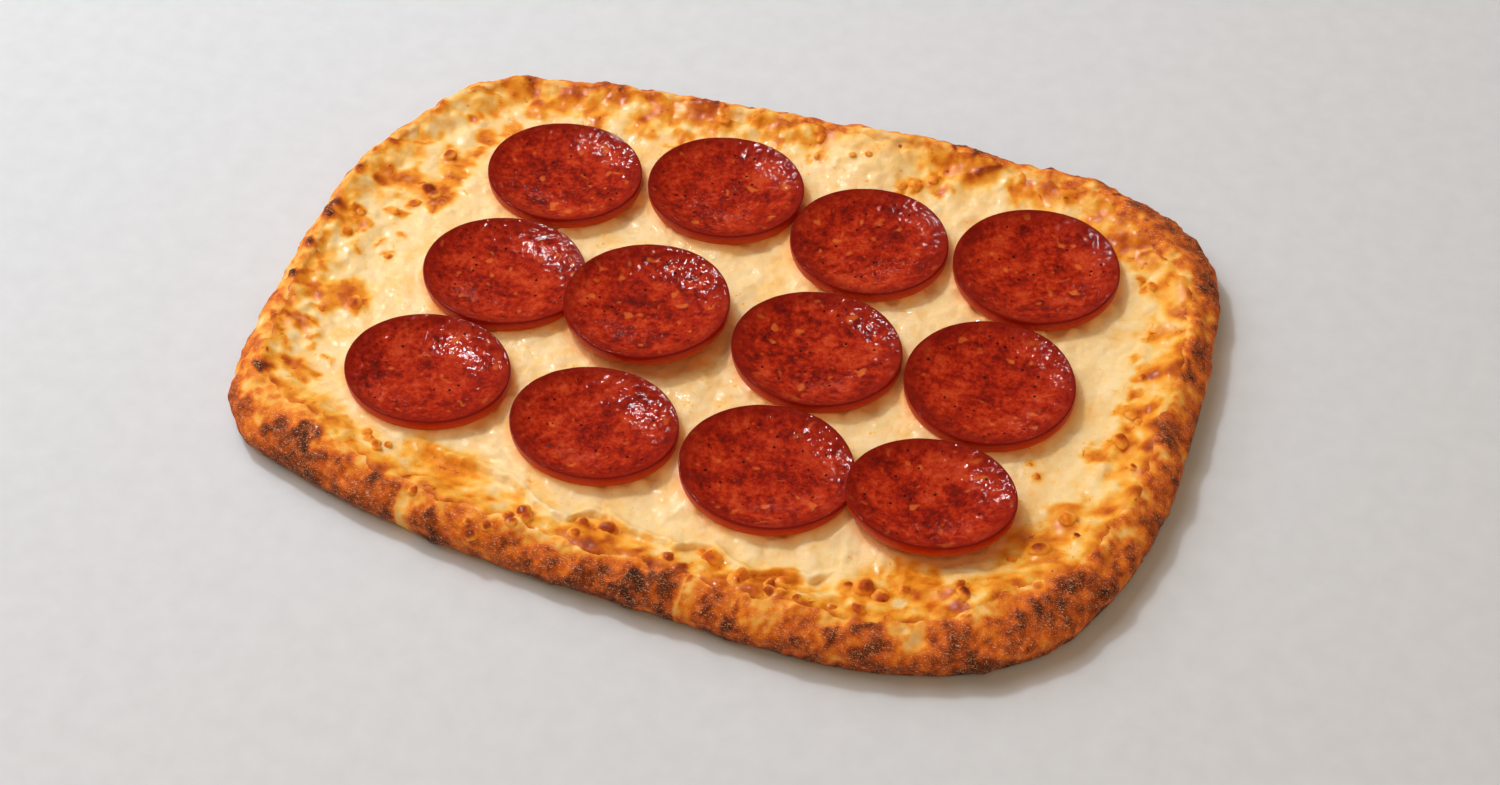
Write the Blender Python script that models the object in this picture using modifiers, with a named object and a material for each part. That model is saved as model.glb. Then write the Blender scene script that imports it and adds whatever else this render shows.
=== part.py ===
"""Flatbread pepperoni pizza: a rounded-rectangle bread with a raised rim, a melted cheese layer
with toasted blisters, and twelve dished pepperoni slices in three rows of four.

Metres, +Z up. The origin is on the surface that the pizza lies on, below its middle."""

import random
from math import atan2, cos, exp, hypot, pi, radians, sin, tau

import bmesh
import bpy
import numpy as np
from mathutils import Matrix, Vector, noise
from mathutils.bvhtree import BVHTree
from mathutils.geometry import interpolate_bezier

mm = 0.001

# Driving sizes
LENGTH = 235.6 * mm
WIDTH = 171.2 * mm
GAP = 0.3 * mm  # air between pieces that lie on each other
COLUMNS = 144  # points round the outline
CURVE_STEPS = 24  # points that the outline's curve has between two corners
SPINE = 32 * mm  # half of the middle line that the inner rings shrink to
SQUARE_INSET = 12 * mm  # rings this near the edge run square to it
CREASE = radians(50)  # edges sharper than this stay sharp in the shading

# The outline seen from above, counter-clockwise from its right end, in mm
OUTLINE = (
    (118, 0), (115.5, 50), (103, 72.5), (76, 83), (35, 85.6), (-10, 84), (-55, 81.5), (-88, 74),
    (-106, 54.5), (-116.5, 25), (-117, -33), (-111, -58), (-88, -70), (-45, -79.5), (10, -84),
    (55, -85.5), (86, -77), (105.5, -59), (115.3, -30),
)

# The bare rim is wider at the near side and the right end, and widest at three corners
RIM_WIDTH = 8.0 * mm
RIM_WIDER_NEAR = 1.7 * mm
RIM_WIDER_RIGHT = 1.5 * mm
RIM_RAGGED = 1.1 * mm
RAGGED_SIZE = 11 * mm
BARE_CORNERS = ((-101 * mm, -62 * mm), (98 * mm, -68 * mm), (102 * mm, 70 * mm))
BARE_EXTRA = 6.5 * mm
BARE_REACH = 20 * mm

# The bread's section from its base, up its side and over the rim: inset, plus a share of the
# rim's width, its height, and the share of the rim's unevenness that it takes
BREAD_SECTION = (
    (3.5 * mm, 0.0, 0.0, 0.0),
    (1.2 * mm, 0.0, 1.2 * mm, 0.0),
    (0.0, 0.0, 4.0 * mm, 0.0),
    (0.7 * mm, 0.0, 7.4 * mm, 0.5),
    (0.0, 0.38, 10.4 * mm, 1.0),
    (0.0, 0.70, 11.9 * mm, 1.0),
    (0.0, 1.0, 11.0 * mm, 0.8),
    (4.0 * mm, 1.0, 8.6 * mm, 0.3),
    (9.0 * mm, 1.0, 6.4 * mm, 0.0),
    (16.0 * mm, 1.0, 5.4 * mm, 0.0),
)
CHEESE_STARTS = 6  # the ring of that section where the cheese begins
# The rim's long swells and short bumps: height and size
SWELLS = (1.25 * mm, 34 * mm)
BUMPS = (0.7 * mm, 12 * mm)

# The top of the cheese: how far past its edge, its thickness there, and its lumps' height
CHEESE_SECTION = (
    (0.1 * mm, 0.8 * mm, 0.0),
    (1.4 * mm, 1.3 * mm, 0.2 * mm),
    (5.0 * mm, 1.5 * mm, 0.4 * mm),
    (8.5 * mm, 2.5 * mm, 0.5 * mm),
    (15.0 * mm, 2.4 * mm, 0.4 * mm),
    (24.0 * mm, 2.3 * mm, 0.3 * mm),
)
CHEESE_INNER = (0.66, 0.33)  # shares of the last ring's way from the middle line
CHEESE_MIDDLE = 2.3 * mm
CHEESE_LUMPS = 9 * mm
CHEESE_SWELLS = (0.3 * mm, 14 * mm)

# A large pale bubble near the far edge: place, half-sizes and height
BUBBLE_PLACE = (16 * mm, 72 * mm)
BUBBLE_HALF = (11 * mm, 8 * mm)
BUBBLE_HEIGHT = 2.2 * mm

# Clusters of toasted blisters along the rim: place in mm, how many, and how far they spread
BLISTER_CLUSTERS = (
    (-32, -70, 5, 7), (-12, -68, 3, 5), (14, -70, 4, 7), (34, -72, 2, 4), (56, -69, 5, 6),
    (76, -65, 2, 3), (86, -47, 3, 4), (97, -34, 2, 4), (101, -5, 4, 7), (102, 17, 1, 1),
    (96, 52, 1, 1), (-94, 44, 3, 6), (-100, 26, 2, 4), (-100, -6, 2, 4),
)
BLISTER_RADIUS = (1.6 * mm, 2.5 * mm)
BLISTER_RISE = 0.85  # height as a share of the radius
BLISTER_SUNK = 0.6 * mm
BLISTER_CLEAR = 1.0 * mm  # to the slices and to the cheese's edge
BLISTER_APART = 0.5 * mm
BLISTER_SEED = 7
BLISTER_TRIES = 40

# The slices: place and half-sizes in mm, rows a to c from the far side, columns from the left
SLICES = {
    "a1": (-59.2, 41.6, 20.8, 18.2), "a2": (-16.7, 48.8, 20.9, 18.5),
    "a3": (24.8, 41.0, 20.7, 19.0), "a4": (68.2, 44.9, 21.5, 20.2),
    "b1": (-61.4, 3.0, 21.4, 18.6), "b2": (-22.4, 1.8, 21.4, 19.8),
    "b3": (22.8, 1.0, 21.7, 19.1), "b4": (66.8, 3.0, 21.4, 20.4),
    "c1": (-67.6, -34.2, 21.2, 17.9), "c2": (-22.0, -38.6, 21.2, 17.8),
    "c3": (22.5, -39.2, 21.7, 19.3), "c4": (62.8, -37.1, 20.8, 16.8),
}
LIES_UNDER = {"b1": "b2", "c3": "c4"}
LIFTED = {"b2": 2.0, "c4": 2.0}  # tilt in degrees, up on the neighbour's side
SLICE_RADIUS = 20 * mm  # as turned, before each slice gets its own half-sizes
SLICE_COLUMNS = 28
SLICE_THICK = 1.7 * mm
DISH_HEIGHT = 2.0 * mm
DISH_STARTS = 0.5  # share of the radius that stays flat
DISH_POWER = 1.6  # over 1, so that the curl steepens outwards
UNDERSIDE_CURL = 0.45  # share of the curl that the underside takes
EDGE_WAVE = 0.012
CURL_UNEVEN = 0.25
FLATTENED = 0.8  # share of the dish that a slice loses under its neighbour
FLATTENED_ANGLE = 0.6
DROP_FROM = 20 * mm
DROP_RINGS = 40  # the places where a slice's height above what is below it is tested
DROP_TURNS = 56
# The slice's section, before it curls: share of the radius and share of the thickness
SLICE_SECTION = (
    (0, 1), (0.58, 1), (0.82, 1), (0.955, 1), (1, 0.62), (0.98, 0.1), (0.8, 0), (0.55, 0), (0, 0),
)


def clear_scene():
    for obj in list(bpy.data.objects):
        bpy.data.objects.remove(obj)


def new_collection(name):
    collection = bpy.data.collections.new(name)
    bpy.context.scene.collection.children.link(collection)
    return collection


def new_material(name, colour, roughness):
    material = bpy.data.materials.new(name)
    material.use_nodes = True
    shader = material.node_tree.nodes["Principled BSDF"]
    shader.inputs["Base Color"].default_value = (*colour, 1)
    shader.inputs["Roughness"].default_value = roughness
    shader.inputs["Metallic"].default_value = 0
    material.diffuse_color = (*colour, 1)
    return material


def new_object(name, mesh, collection, material):
    obj = bpy.data.objects.new(name, mesh)
    mesh.materials.append(material)
    collection.objects.link(obj)
    return obj


def apply_modifiers(obj):
    graph = bpy.context.evaluated_depsgraph_get()
    mesh = bpy.data.meshes.new_from_object(obj.evaluated_get(graph))
    obj.modifiers.clear()
    obj.data = mesh


def smooth(obj):
    obj.data.shade_smooth()
    obj.data.set_sharp_from_angle(angle=CREASE)


def lumps(points, size, layer):
    """Uneven heights from -1 to 1 at these points, with bumps of this size."""
    return np.array([noise.noise(Vector((x / size, y / size, layer))) for x, y in points])


def smooth_loop(corners, count):
    """A smooth closed curve through the corners, as points evenly apart."""
    corners = [Vector((x, y, 0)) for x, y in corners]
    fine = []
    for i, start in enumerate(corners):
        before = corners[i - 1]
        end = corners[(i + 1) % len(corners)]
        after = corners[(i + 2) % len(corners)]
        first_handle = start + (end - before) / 6
        second_handle = end - (after - start) / 6
        fine += interpolate_bezier(start, first_handle, second_handle, end, CURVE_STEPS)[:-1]
    loop = np.array([(p.x, p.y) for p in fine + fine[:1]])
    walked = np.concatenate([[0], np.cumsum(np.hypot(*np.diff(loop, axis=0).T))])
    marks = np.arange(count) * walked[-1] / count
    return np.stack([np.interp(marks, walked, loop[:, axis]) for axis in (0, 1)], axis=1)


def outline():
    """The outer edge, at its full length and width about the origin."""
    loop = smooth_loop(OUTLINE, COLUMNS)
    low, high = loop.min(axis=0), loop.max(axis=0)
    return (loop - (low + high) / 2) / (high - low) * (LENGTH, WIDTH)


def inward(loop):
    """At each point of the loop, the direction square to the edge, inwards."""
    along = np.roll(loop, -2, axis=0) - np.roll(loop, 2, axis=0)
    turned = np.stack([-along[:, 1], along[:, 0]], axis=1)
    return turned / np.hypot(*turned.T)[:, None]


def towards_middle(loop):
    """At each point of the loop, the way from it to the nearest point of the middle line."""
    middle = np.stack([np.clip(loop[:, 0], -SPINE, SPINE), np.zeros(len(loop))], axis=1)
    return middle - loop


def ring(edge, inset):
    """The edge moved in: square to itself at first, and then towards the middle line."""
    square = edge + inward(edge) * np.minimum(inset, SQUARE_INSET)[:, None]
    way = towards_middle(square)
    further = np.maximum(inset - SQUARE_INSET, 0) / np.hypot(*way.T)
    return square + way * further[:, None]


def rim_width(edge):
    """How far the bare rim reaches in from each point of the edge."""
    near = -edge[:, 1] / (WIDTH / 2)
    right = edge[:, 0] / (LENGTH / 2)
    width = RIM_WIDTH + RIM_WIDER_NEAR * near + RIM_WIDER_RIGHT * right
    for corner_x, corner_y in BARE_CORNERS:
        away = np.hypot(edge[:, 0] - corner_x, edge[:, 1] - corner_y)
        width += BARE_EXTRA * np.exp(-((away / BARE_REACH) ** 2))
    return width + RIM_RAGGED * lumps(edge, RAGGED_SIZE, 3)


def rim_uneven(edge):
    """How much higher or lower the rim is here."""
    swell, swell_size = SWELLS
    bump, bump_size = BUMPS
    return swell * lumps(edge, swell_size, 5) + bump * lumps(edge, bump_size, 6)


def bread_ring(edge, step):
    """One ring of the bread's section, as its plan and its heights."""
    inset, share, height, uneven = BREAD_SECTION[step]
    plan = ring(edge, inset + share * rim_width(edge))
    return plan, height + uneven * rim_uneven(edge)


def cheese_ring(edge, past_edge, thick, lump):
    """One ring of the top of the cheese, as its plan and its heights."""
    under = BREAD_SECTION[CHEESE_STARTS:]
    steps = [row[0] for row in under]
    height = np.interp(past_edge, steps, [row[2] for row in under])
    uneven = np.interp(past_edge, steps, [row[3] for row in under])
    plan = ring(edge, past_edge + rim_width(edge))
    level = height + uneven * rim_uneven(edge) + GAP + thick
    return plan, level + lump * lumps(plan, CHEESE_LUMPS, 8) + bubble(plan)


def bubble(plan):
    """The height that the large bubble adds."""
    away = np.hypot(*((plan - BUBBLE_PLACE) / BUBBLE_HALF).T)
    return BUBBLE_HEIGHT * np.exp(-(away**2))


def loft(name, rings):
    """A closed skin over rings of equal length, from the bottom round the outside to the top."""
    bm = bmesh.new()
    rows = [[bm.verts.new((x, y, z)) for (x, y), z in zip(*one)] for one in rings]
    for low, high in zip(rows, rows[1:]):
        for i in range(COLUMNS):
            after = (i + 1) % COLUMNS
            bm.faces.new((low[i], low[after], high[after], high[i]))
    bm.faces.new(reversed(rows[0]))
    bm.faces.new(rows[-1])
    bmesh.ops.triangulate(bm, faces=[face for face in bm.faces if len(face.verts) > 4])
    mesh = bpy.data.meshes.new(name)
    bm.to_mesh(mesh)
    bm.free()
    return mesh


def make_bread(edge, collection):
    rings = [bread_ring(edge, step) for step in range(len(BREAD_SECTION))]
    crust = new_material("baked_crust", (0.42, 0.20, 0.07), 0.75)
    bread = new_object("flatbread", loft("flatbread", rings), collection, crust)
    smooth(bread)
    return bread


def make_cheese(edge, collection):
    """The cheese: its underside a gap above the bread, and its uneven top."""
    rings = []
    for step in range(len(BREAD_SECTION) - 1, CHEESE_STARTS - 1, -1):
        plan, level = bread_ring(edge, step)
        rings.append((plan, level + GAP))
    for row in CHEESE_SECTION:
        rings.append(cheese_ring(edge, *row))
    last_plan, _ = rings[-1]
    middle_level = BREAD_SECTION[-1][2] + GAP + CHEESE_MIDDLE
    swell, swell_size = CHEESE_SWELLS
    for share in CHEESE_INNER:
        plan = last_plan + towards_middle(last_plan) * (1 - share)
        rings.append((plan, middle_level + swell * lumps(plan, swell_size, 8)))
    melted = new_material("melted_cheese", (0.83, 0.62, 0.30), 0.35)
    return new_object("cheese", loft("cheese", rings), collection, melted)


def surface_of(objects):
    """One ray-cast tree over the outer faces of these objects, in world space."""
    points, faces = [], []
    for obj in objects:
        start = len(points)
        points += [obj.matrix_world @ vertex.co for vertex in obj.data.vertices]
        faces += [[start + i for i in face.vertices] for face in obj.data.polygons]
    return BVHTree.FromPolygons(points, faces)


def height_at(surface, x, y):
    """The surface's height at this place, seen from above."""
    hit = surface.ray_cast(Vector((x, y, 1)), Vector((0, 0, -1)))[0]
    return hit.z if hit else None


def inside_slice(x, y, clear):
    """Whether a slice covers this place, or comes this near to it."""
    for place_x, place_y, half_x, half_y in SLICES.values():
        across = (x - place_x * mm) / (half_x * mm + clear)
        up = (y - place_y * mm) / (half_y * mm + clear)
        if hypot(across, up) < 1:
            return True
    return False


def blister_places(edge):
    """Places for the blisters, drawn by a seeded rule about each cluster's middle."""
    draw = random.Random(BLISTER_SEED)
    inner = ring(edge, rim_width(edge) + BLISTER_CLEAR)
    placed = []
    for middle_x, middle_y, count, spread in BLISTER_CLUSTERS:
        wanted = len(placed) + count
        for _ in range(BLISTER_TRIES):
            if len(placed) == wanted:
                break
            radius = draw.uniform(*BLISTER_RADIUS)
            x = (middle_x + draw.uniform(-spread, spread)) * mm
            y = (middle_y + draw.uniform(-spread, spread) / 2) * mm
            clear = radius + BLISTER_CLEAR
            near_edge = np.hypot(inner[:, 0] - x, inner[:, 1] - y).min() < radius
            crowded = any(
                hypot(x - px, y - py) < radius + pr + BLISTER_APART for px, py, pr in placed
            )
            covered = inside_slice(x, y, clear) or outside(inner, x, y)
            if not (near_edge or crowded or covered):
                placed.append((x, y, radius))
    return placed


def outside(loop, x, y):
    """Whether a place lies outside this loop."""
    turned = 0
    for (x1, y1), (x2, y2) in zip(loop, np.roll(loop, -1, axis=0)):
        step = atan2(y2 - y, x2 - x) - atan2(y1 - y, x1 - x)
        turned += (step + pi) % tau - pi
    return abs(turned) < pi


def add_blisters(cheese, edge):
    """Toasted domes, shallow below the surface so that they end inside the cheese."""
    domes = new_collection("blister_domes")
    surface = surface_of([cheese])
    for number, (x, y, radius) in enumerate(blister_places(edge)):
        bm = bmesh.new()
        bmesh.ops.create_uvsphere(bm, u_segments=8, v_segments=6, radius=radius)
        for vertex in bm.verts:
            vertex.co.z *= BLISTER_RISE if vertex.co.z > 0 else BLISTER_SUNK / radius
        bmesh.ops.rotate(bm, verts=bm.verts, matrix=Matrix.Rotation(number, 3, "Z"))
        mesh = bpy.data.meshes.new("dome")
        bm.to_mesh(mesh)
        bm.free()
        dome = bpy.data.objects.new(f"dome_{number}", mesh)
        dome.location = (x, y, height_at(surface, x, y))
        domes.objects.link(dome)
    union = cheese.modifiers.new("blisters", "BOOLEAN")
    union.operation = "UNION"
    union.operand_type = "COLLECTION"
    union.collection = domes
    bpy.context.view_layer.update()
    apply_modifiers(cheese)
    for dome in list(domes.objects):
        bpy.data.objects.remove(dome)
    bpy.data.collections.remove(domes)
    smooth(cheese)


def turned_slice(name, collection, material):
    """A flat round slice, turned from its section."""
    mesh = bpy.data.meshes.new(name)
    points = [(share * SLICE_RADIUS, 0, level * SLICE_THICK) for share, level in SLICE_SECTION]
    mesh.from_pydata(points, [(i, i + 1) for i in range(len(points) - 1)], [])
    obj = new_object(name, mesh, collection, material)
    turn = obj.modifiers.new("turn", "SCREW")
    turn.axis = "Z"
    turn.steps = turn.render_steps = SLICE_COLUMNS
    turn.use_merge_vertices = True
    turn.merge_threshold = 0.01 * mm
    turn.use_smooth_shade = True
    apply_modifiers(obj)
    return obj


def curl_at(angle, key):
    """How much of its height the slice's edge curls up in this direction."""
    place_x, place_y, _, _ = SLICES[key]
    curl = 1 + CURL_UNEVEN * noise.noise(Vector((cos(angle), sin(angle), place_x)))
    if key in LIES_UNDER:
        over_x, over_y, _, _ = SLICES[LIES_UNDER[key]]
        turn = angle - atan2(over_y - place_y, over_x - place_x)
        away = (turn + pi) % tau - pi
        curl *= 1 - FLATTENED * exp(-((away / FLATTENED_ANGLE) ** 2))
    return curl


def shape_slice(obj, key):
    """Gives the slice its own outline and its curled edge."""
    _, place_y, half_x, half_y = SLICES[key]
    for vertex in obj.data.vertices:
        x, y, _ = vertex.co
        share = hypot(x, y) / SLICE_RADIUS
        angle = atan2(y, x)
        wave = 1 + EDGE_WAVE * noise.noise(Vector((cos(angle), sin(angle), place_y)))
        dish = max(share - DISH_STARTS, 0) / (1 - DISH_STARTS)
        level = UNDERSIDE_CURL + (1 - UNDERSIDE_CURL) * vertex.co.z / SLICE_THICK
        vertex.co.x *= half_x * mm / SLICE_RADIUS * wave
        vertex.co.y *= half_y * mm / SLICE_RADIUS * wave
        vertex.co.z += DISH_HEIGHT * level * curl_at(angle, key) * dish**DISH_POWER


def tilt_slice(obj, key):
    """Lifts the side of a slice that lies on its neighbour."""
    lower = next(name for name, upper in LIES_UNDER.items() if upper == key)
    way_x = SLICES[lower][0] - SLICES[key][0]
    way_y = SLICES[lower][1] - SLICES[key][1]
    axis = Vector((way_y, -way_x, 0))
    obj.rotation_euler = Matrix.Rotation(radians(-LIFTED[key]), 3, axis).to_euler()


def settle(obj, below):
    """Lowers the slice until it lies a gap above what is under it."""
    bpy.context.view_layer.update()
    under = surface_of(below)
    own = surface_of([obj])
    middle = obj.matrix_world.translation
    reach = max(obj.dimensions.x, obj.dimensions.y) / 2
    rises = []
    for step in range(DROP_RINGS):
        away = reach * (step + 1) / DROP_RINGS
        for turn in range(DROP_TURNS):
            x = middle.x + away * cos(tau * turn / DROP_TURNS)
            y = middle.y + away * sin(tau * turn / DROP_TURNS)
            hit = own.ray_cast(Vector((x, y, 0)), Vector((0, 0, 1)))[0]
            if hit:
                rises.append(height_at(under, x, y) - hit.z)
    obj.location.z += max(rises) + GAP
    bpy.context.view_layer.update()


def make_slices(cheese, collection):
    cured = new_material("cured_sausage", (0.40, 0.045, 0.02), 0.4)
    placed = []
    order = sorted(SLICES, key=lambda name: name in LIES_UNDER.values())
    for key in order:
        slice_ = turned_slice(f"pepperoni_{key}", collection, cured)
        shape_slice(slice_, key)
        slice_.location = (SLICES[key][0] * mm, SLICES[key][1] * mm, DROP_FROM)
        if key in LIFTED:
            tilt_slice(slice_, key)
        settle(slice_, [cheese, *placed])
        smooth(slice_)
        placed.append(slice_)


def main():
    clear_scene()
    pizza = new_collection("pepperoni_pizza")
    edge = outline()
    make_bread(edge, pizza)
    cheese = make_cheese(edge, pizza)
    add_blisters(cheese, edge)
    make_slices(cheese, pizza)


main()
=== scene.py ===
# %% [markdown]
# # A flatbread pepperoni pizza
#
# The real thing is a hand-stretched flatbread in the shape of a rounded rectangle. Its bare rim
# puffed up and browned in the oven, melted cheese fills the inside, and twelve slices of
# pepperoni lie on it in three rows of four, their edges curled up into shallow dishes.
#
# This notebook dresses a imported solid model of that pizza. The model gives the place and the
# size of the bread, the cheese and each slice. Here each of them is replaced by a finer mesh of
# the same form, with the relief and the finish of the real food.

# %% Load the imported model
from math import atan2, cos, pi, sin, tau
from random import Random

import bpy
import numpy as np
from mathutils import Matrix, Vector, noise
from mathutils.bvhtree import BVHTree
from mathutils.geometry import interpolate_bezier
from mathutils.kdtree import KDTree


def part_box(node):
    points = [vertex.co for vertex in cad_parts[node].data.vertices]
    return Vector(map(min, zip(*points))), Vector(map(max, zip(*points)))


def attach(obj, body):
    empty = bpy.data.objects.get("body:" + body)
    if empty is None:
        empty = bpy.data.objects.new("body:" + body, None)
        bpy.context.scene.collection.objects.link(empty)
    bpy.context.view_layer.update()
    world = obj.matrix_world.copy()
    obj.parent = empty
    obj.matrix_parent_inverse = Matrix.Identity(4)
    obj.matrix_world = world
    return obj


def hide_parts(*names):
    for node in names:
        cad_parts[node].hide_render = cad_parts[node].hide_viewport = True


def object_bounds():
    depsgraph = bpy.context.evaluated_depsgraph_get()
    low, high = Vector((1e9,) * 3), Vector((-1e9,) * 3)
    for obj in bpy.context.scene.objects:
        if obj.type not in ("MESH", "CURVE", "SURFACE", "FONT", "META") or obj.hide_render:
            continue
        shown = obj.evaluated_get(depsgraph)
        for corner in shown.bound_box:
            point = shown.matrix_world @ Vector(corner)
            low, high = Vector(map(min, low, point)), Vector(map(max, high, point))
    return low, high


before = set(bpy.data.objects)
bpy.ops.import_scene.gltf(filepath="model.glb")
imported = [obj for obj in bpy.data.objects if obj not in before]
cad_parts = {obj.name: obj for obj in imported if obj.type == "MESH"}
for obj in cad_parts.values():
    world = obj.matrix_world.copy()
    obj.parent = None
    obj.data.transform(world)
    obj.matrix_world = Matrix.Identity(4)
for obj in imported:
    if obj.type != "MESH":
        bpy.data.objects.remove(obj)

mm = 0.001
packed_box = [list(corner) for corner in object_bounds()]
print("packed model, mm:", [round((high - low) / mm, 1) for low, high in zip(*packed_box)])

# %% [markdown]
# ## The camera
#
# The photograph looks down on the pizza from a little to the right of its near side. A camera
# is placed by where it stands, where it looks and which way is up for it. The lens is long for
# a sensor of 36 mm, so the far rim looks hardly smaller than the near one.

# %% The camera
CAMERA_PLACE = Vector((155.06, -451.71, 529.60)) * mm
CAMERA_LOOKS = Vector((-0.20799, 0.62795, -0.74995))
CAMERA_UP = Vector((-0.22456, 0.71558, 0.66145))
CAMERA_LENS = 67.33

right = CAMERA_LOOKS.cross(CAMERA_UP)
turn = Matrix((right, CAMERA_UP, -CAMERA_LOOKS)).transposed()
bpy.ops.object.camera_add(location=CAMERA_PLACE, rotation=turn.to_euler())
camera = bpy.context.object
camera.data.lens = CAMERA_LENS
camera.data.sensor_width = 36
camera.data.clip_start = 10 * mm
bpy.context.scene.camera = camera
print("camera height, mm:", round(CAMERA_PLACE.z / mm))

# %% [markdown]
# ## Colours and nodes
#
# Colours are written as the hex codes of a colour picker. Blender mixes light in linear values,
# so one function turns the codes to those. Another adds a shader node, sets it and links it, so
# that each material below reads from top to bottom.

# %% Two helpers for materials
def colour(hex_code):
    """The linear colour of an sRGB hex code."""
    parts = [int(hex_code[start : start + 2], 16) / 255 for start in (1, 3, 5)]
    return (*(p / 12.92 if p <= 0.04045 else ((p + 0.055) / 1.055) ** 2.4 for p in parts), 1)


def add(tree, kind, settings=None, links=None, stops=None):
    """Adds a node. Settings and links go by property or socket name, or by socket number."""
    node = tree.nodes.new(kind)
    for name, value in (settings or {}).items():
        if isinstance(name, str) and hasattr(node, name):
            setattr(node, name, value)
        else:
            node.inputs[name].default_value = value
    for name, source in (links or {}).items():
        tree.links.new(source, node.inputs[name])
    if stops:
        ramp = node.color_ramp.elements
        for place, shade in stops[2:]:
            ramp.new(place)
        for element, (place, shade) in zip(ramp, stops):
            element.position = place
            element.color = colour(shade) if isinstance(shade, str) else (shade, shade, shade, 1)
    return node


def new_material(name):
    """A material with its shader, its output and a source of object coordinates in metres."""
    material = bpy.data.materials.new(name)
    material.use_nodes = True
    tree = material.node_tree
    shader = tree.nodes["Principled BSDF"]
    place = tree.nodes.new("ShaderNodeTexCoord").outputs["Object"]
    return material, tree, shader, place


print("#808080 is in linear light:", round(colour("#808080")[0], 3))

# %% [markdown]
# ## Helpers for shaping
#
# Food is uneven at every size. Smooth noise gives that: the same function makes the long swells
# of the rim and the fine grain of its skin, only with another lump size. Vertices are moved in
# code, as a sculptor's brush would move them.

# %% Noise, steps and vertex moves
def lumps(points, size, layer):
    """Smooth noise from about -1 to 1 at these points, with lumps of this size in metres."""
    deep = points[:, 2] / size if points.shape[1] == 3 else np.zeros(len(points))
    rows = zip(points[:, 0] / size, points[:, 1] / size, deep + layer)
    return np.array([noise.noise(Vector(row)) for row in rows])


def ease(value, low, high):
    """A soft step from 0 at low to 1 at high, or back down where low is the larger."""
    share = np.clip((value - low) / (high - low), 0, 1)
    return share * share * (3 - 2 * share)


def hump(away, reach):
    """A soft hump, 1 in its middle and close to 0 beyond its reach."""
    return np.exp(-((away / reach) ** 2))


def points_of(obj):
    """The places of all its vertices, one row for each."""
    points = np.empty(len(obj.data.vertices) * 3)
    obj.data.vertices.foreach_get("co", points)
    return points.reshape(-1, 3)


def move_points(obj, points):
    obj.data.vertices.foreach_set("co", np.asarray(points, dtype=np.float32).ravel())
    obj.data.update()


def keep_value(obj, name, values):
    """Stores one number at each vertex, for the material to read."""
    layer = obj.data.attributes.new(name, "FLOAT", "POINT")
    layer.data.foreach_set("value", np.asarray(values, dtype=np.float32))


def start_shape(add_primitive, name, **settings):
    """Adds a primitive with nothing else selected, and names it."""
    bpy.ops.object.select_all(action="DESELECT")
    add_primitive(**settings)
    obj = bpy.context.object
    obj.name = obj.data.name = name
    return obj


def count_triangles(obj):
    obj.data.calc_loop_triangles()
    return len(obj.data.loop_triangles)


print("the soft step, a quarter of the way:", ease(0.25, 0, 1))

# %% [markdown]
# ## The outline
#
# The bread was stretched by hand, so its outline is a rounded rectangle with nothing quite
# straight. Nineteen corners carry one smooth closed curve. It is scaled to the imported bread's
# box, so that the mesh ends exactly where the solid does.

# %% The bread's outline, counter-clockwise from its right end
OUTLINE = (
    (118, 0), (115.5, 50), (103, 72.5), (76, 83), (35, 85.6), (-10, 84), (-55, 81.5), (-88, 74),
    (-106, 54.5), (-116.5, 25), (-117, -33), (-111, -58), (-88, -70), (-45, -79.5), (10, -84),
    (55, -85.5), (86, -77), (105.5, -59), (115.3, -30),
)
CURVE_STEPS = 60
COLUMNS = 1240
SPINE = 32 * mm
SQUARE_INSET = 12 * mm
bread_low, bread_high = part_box("flatbread")
HALF = np.array([bread_high.x, bread_high.y])


def smooth_loop(corners, count):
    """A smooth closed curve through the corners, as points evenly apart."""
    corners = [Vector((x, y, 0)) for x, y in corners]
    fine = []
    for i, start in enumerate(corners):
        before = corners[i - 1]
        end = corners[(i + 1) % len(corners)]
        after = corners[(i + 2) % len(corners)]
        first_handle = start + (end - before) / 6
        second_handle = end - (after - start) / 6
        fine += interpolate_bezier(start, first_handle, second_handle, end, CURVE_STEPS)[:-1]
    loop = np.array([(p.x, p.y) for p in fine + fine[:1]])
    walked = np.concatenate([[0], np.cumsum(np.hypot(*np.diff(loop, axis=0).T))])
    marks = np.arange(count) * walked[-1] / count
    return np.stack([np.interp(marks, walked, loop[:, axis]) for axis in (0, 1)], axis=1)


loop = smooth_loop(OUTLINE, COLUMNS)
low, high = loop.min(axis=0), loop.max(axis=0)
edge = (loop - (low + high) / 2) / (high - low) * 2 * HALF
print("outline points:", len(edge), "apart, mm:", round(np.hypot(*(edge[1] - edge[0])) / mm, 2))

# %% [markdown]
# Rings inside the outline run square to it at first, and then towards a short line in the
# middle. Near the edge a ring is told by how far in it lies, so each ring of the bread and of the
# cheese needs just that distance and a height.

# %% Rings inside the outline
along = np.roll(edge, -3, axis=0) - np.roll(edge, 3, axis=0)
INWARD = np.stack([-along[:, 1], along[:, 0]], axis=1) / np.hypot(*along.T)[:, None]


def ring(inset):
    """The outline moved in by these distances, one for each of its points."""
    square = edge + INWARD * np.minimum(inset, SQUARE_INSET)[:, None]
    middle = np.stack([np.clip(square[:, 0], -SPINE, SPINE), np.zeros(len(edge))], axis=1)
    way = middle - square
    further = np.maximum(inset - SQUARE_INSET, 0) / np.hypot(*way.T)
    return square + way * further[:, None]


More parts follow.
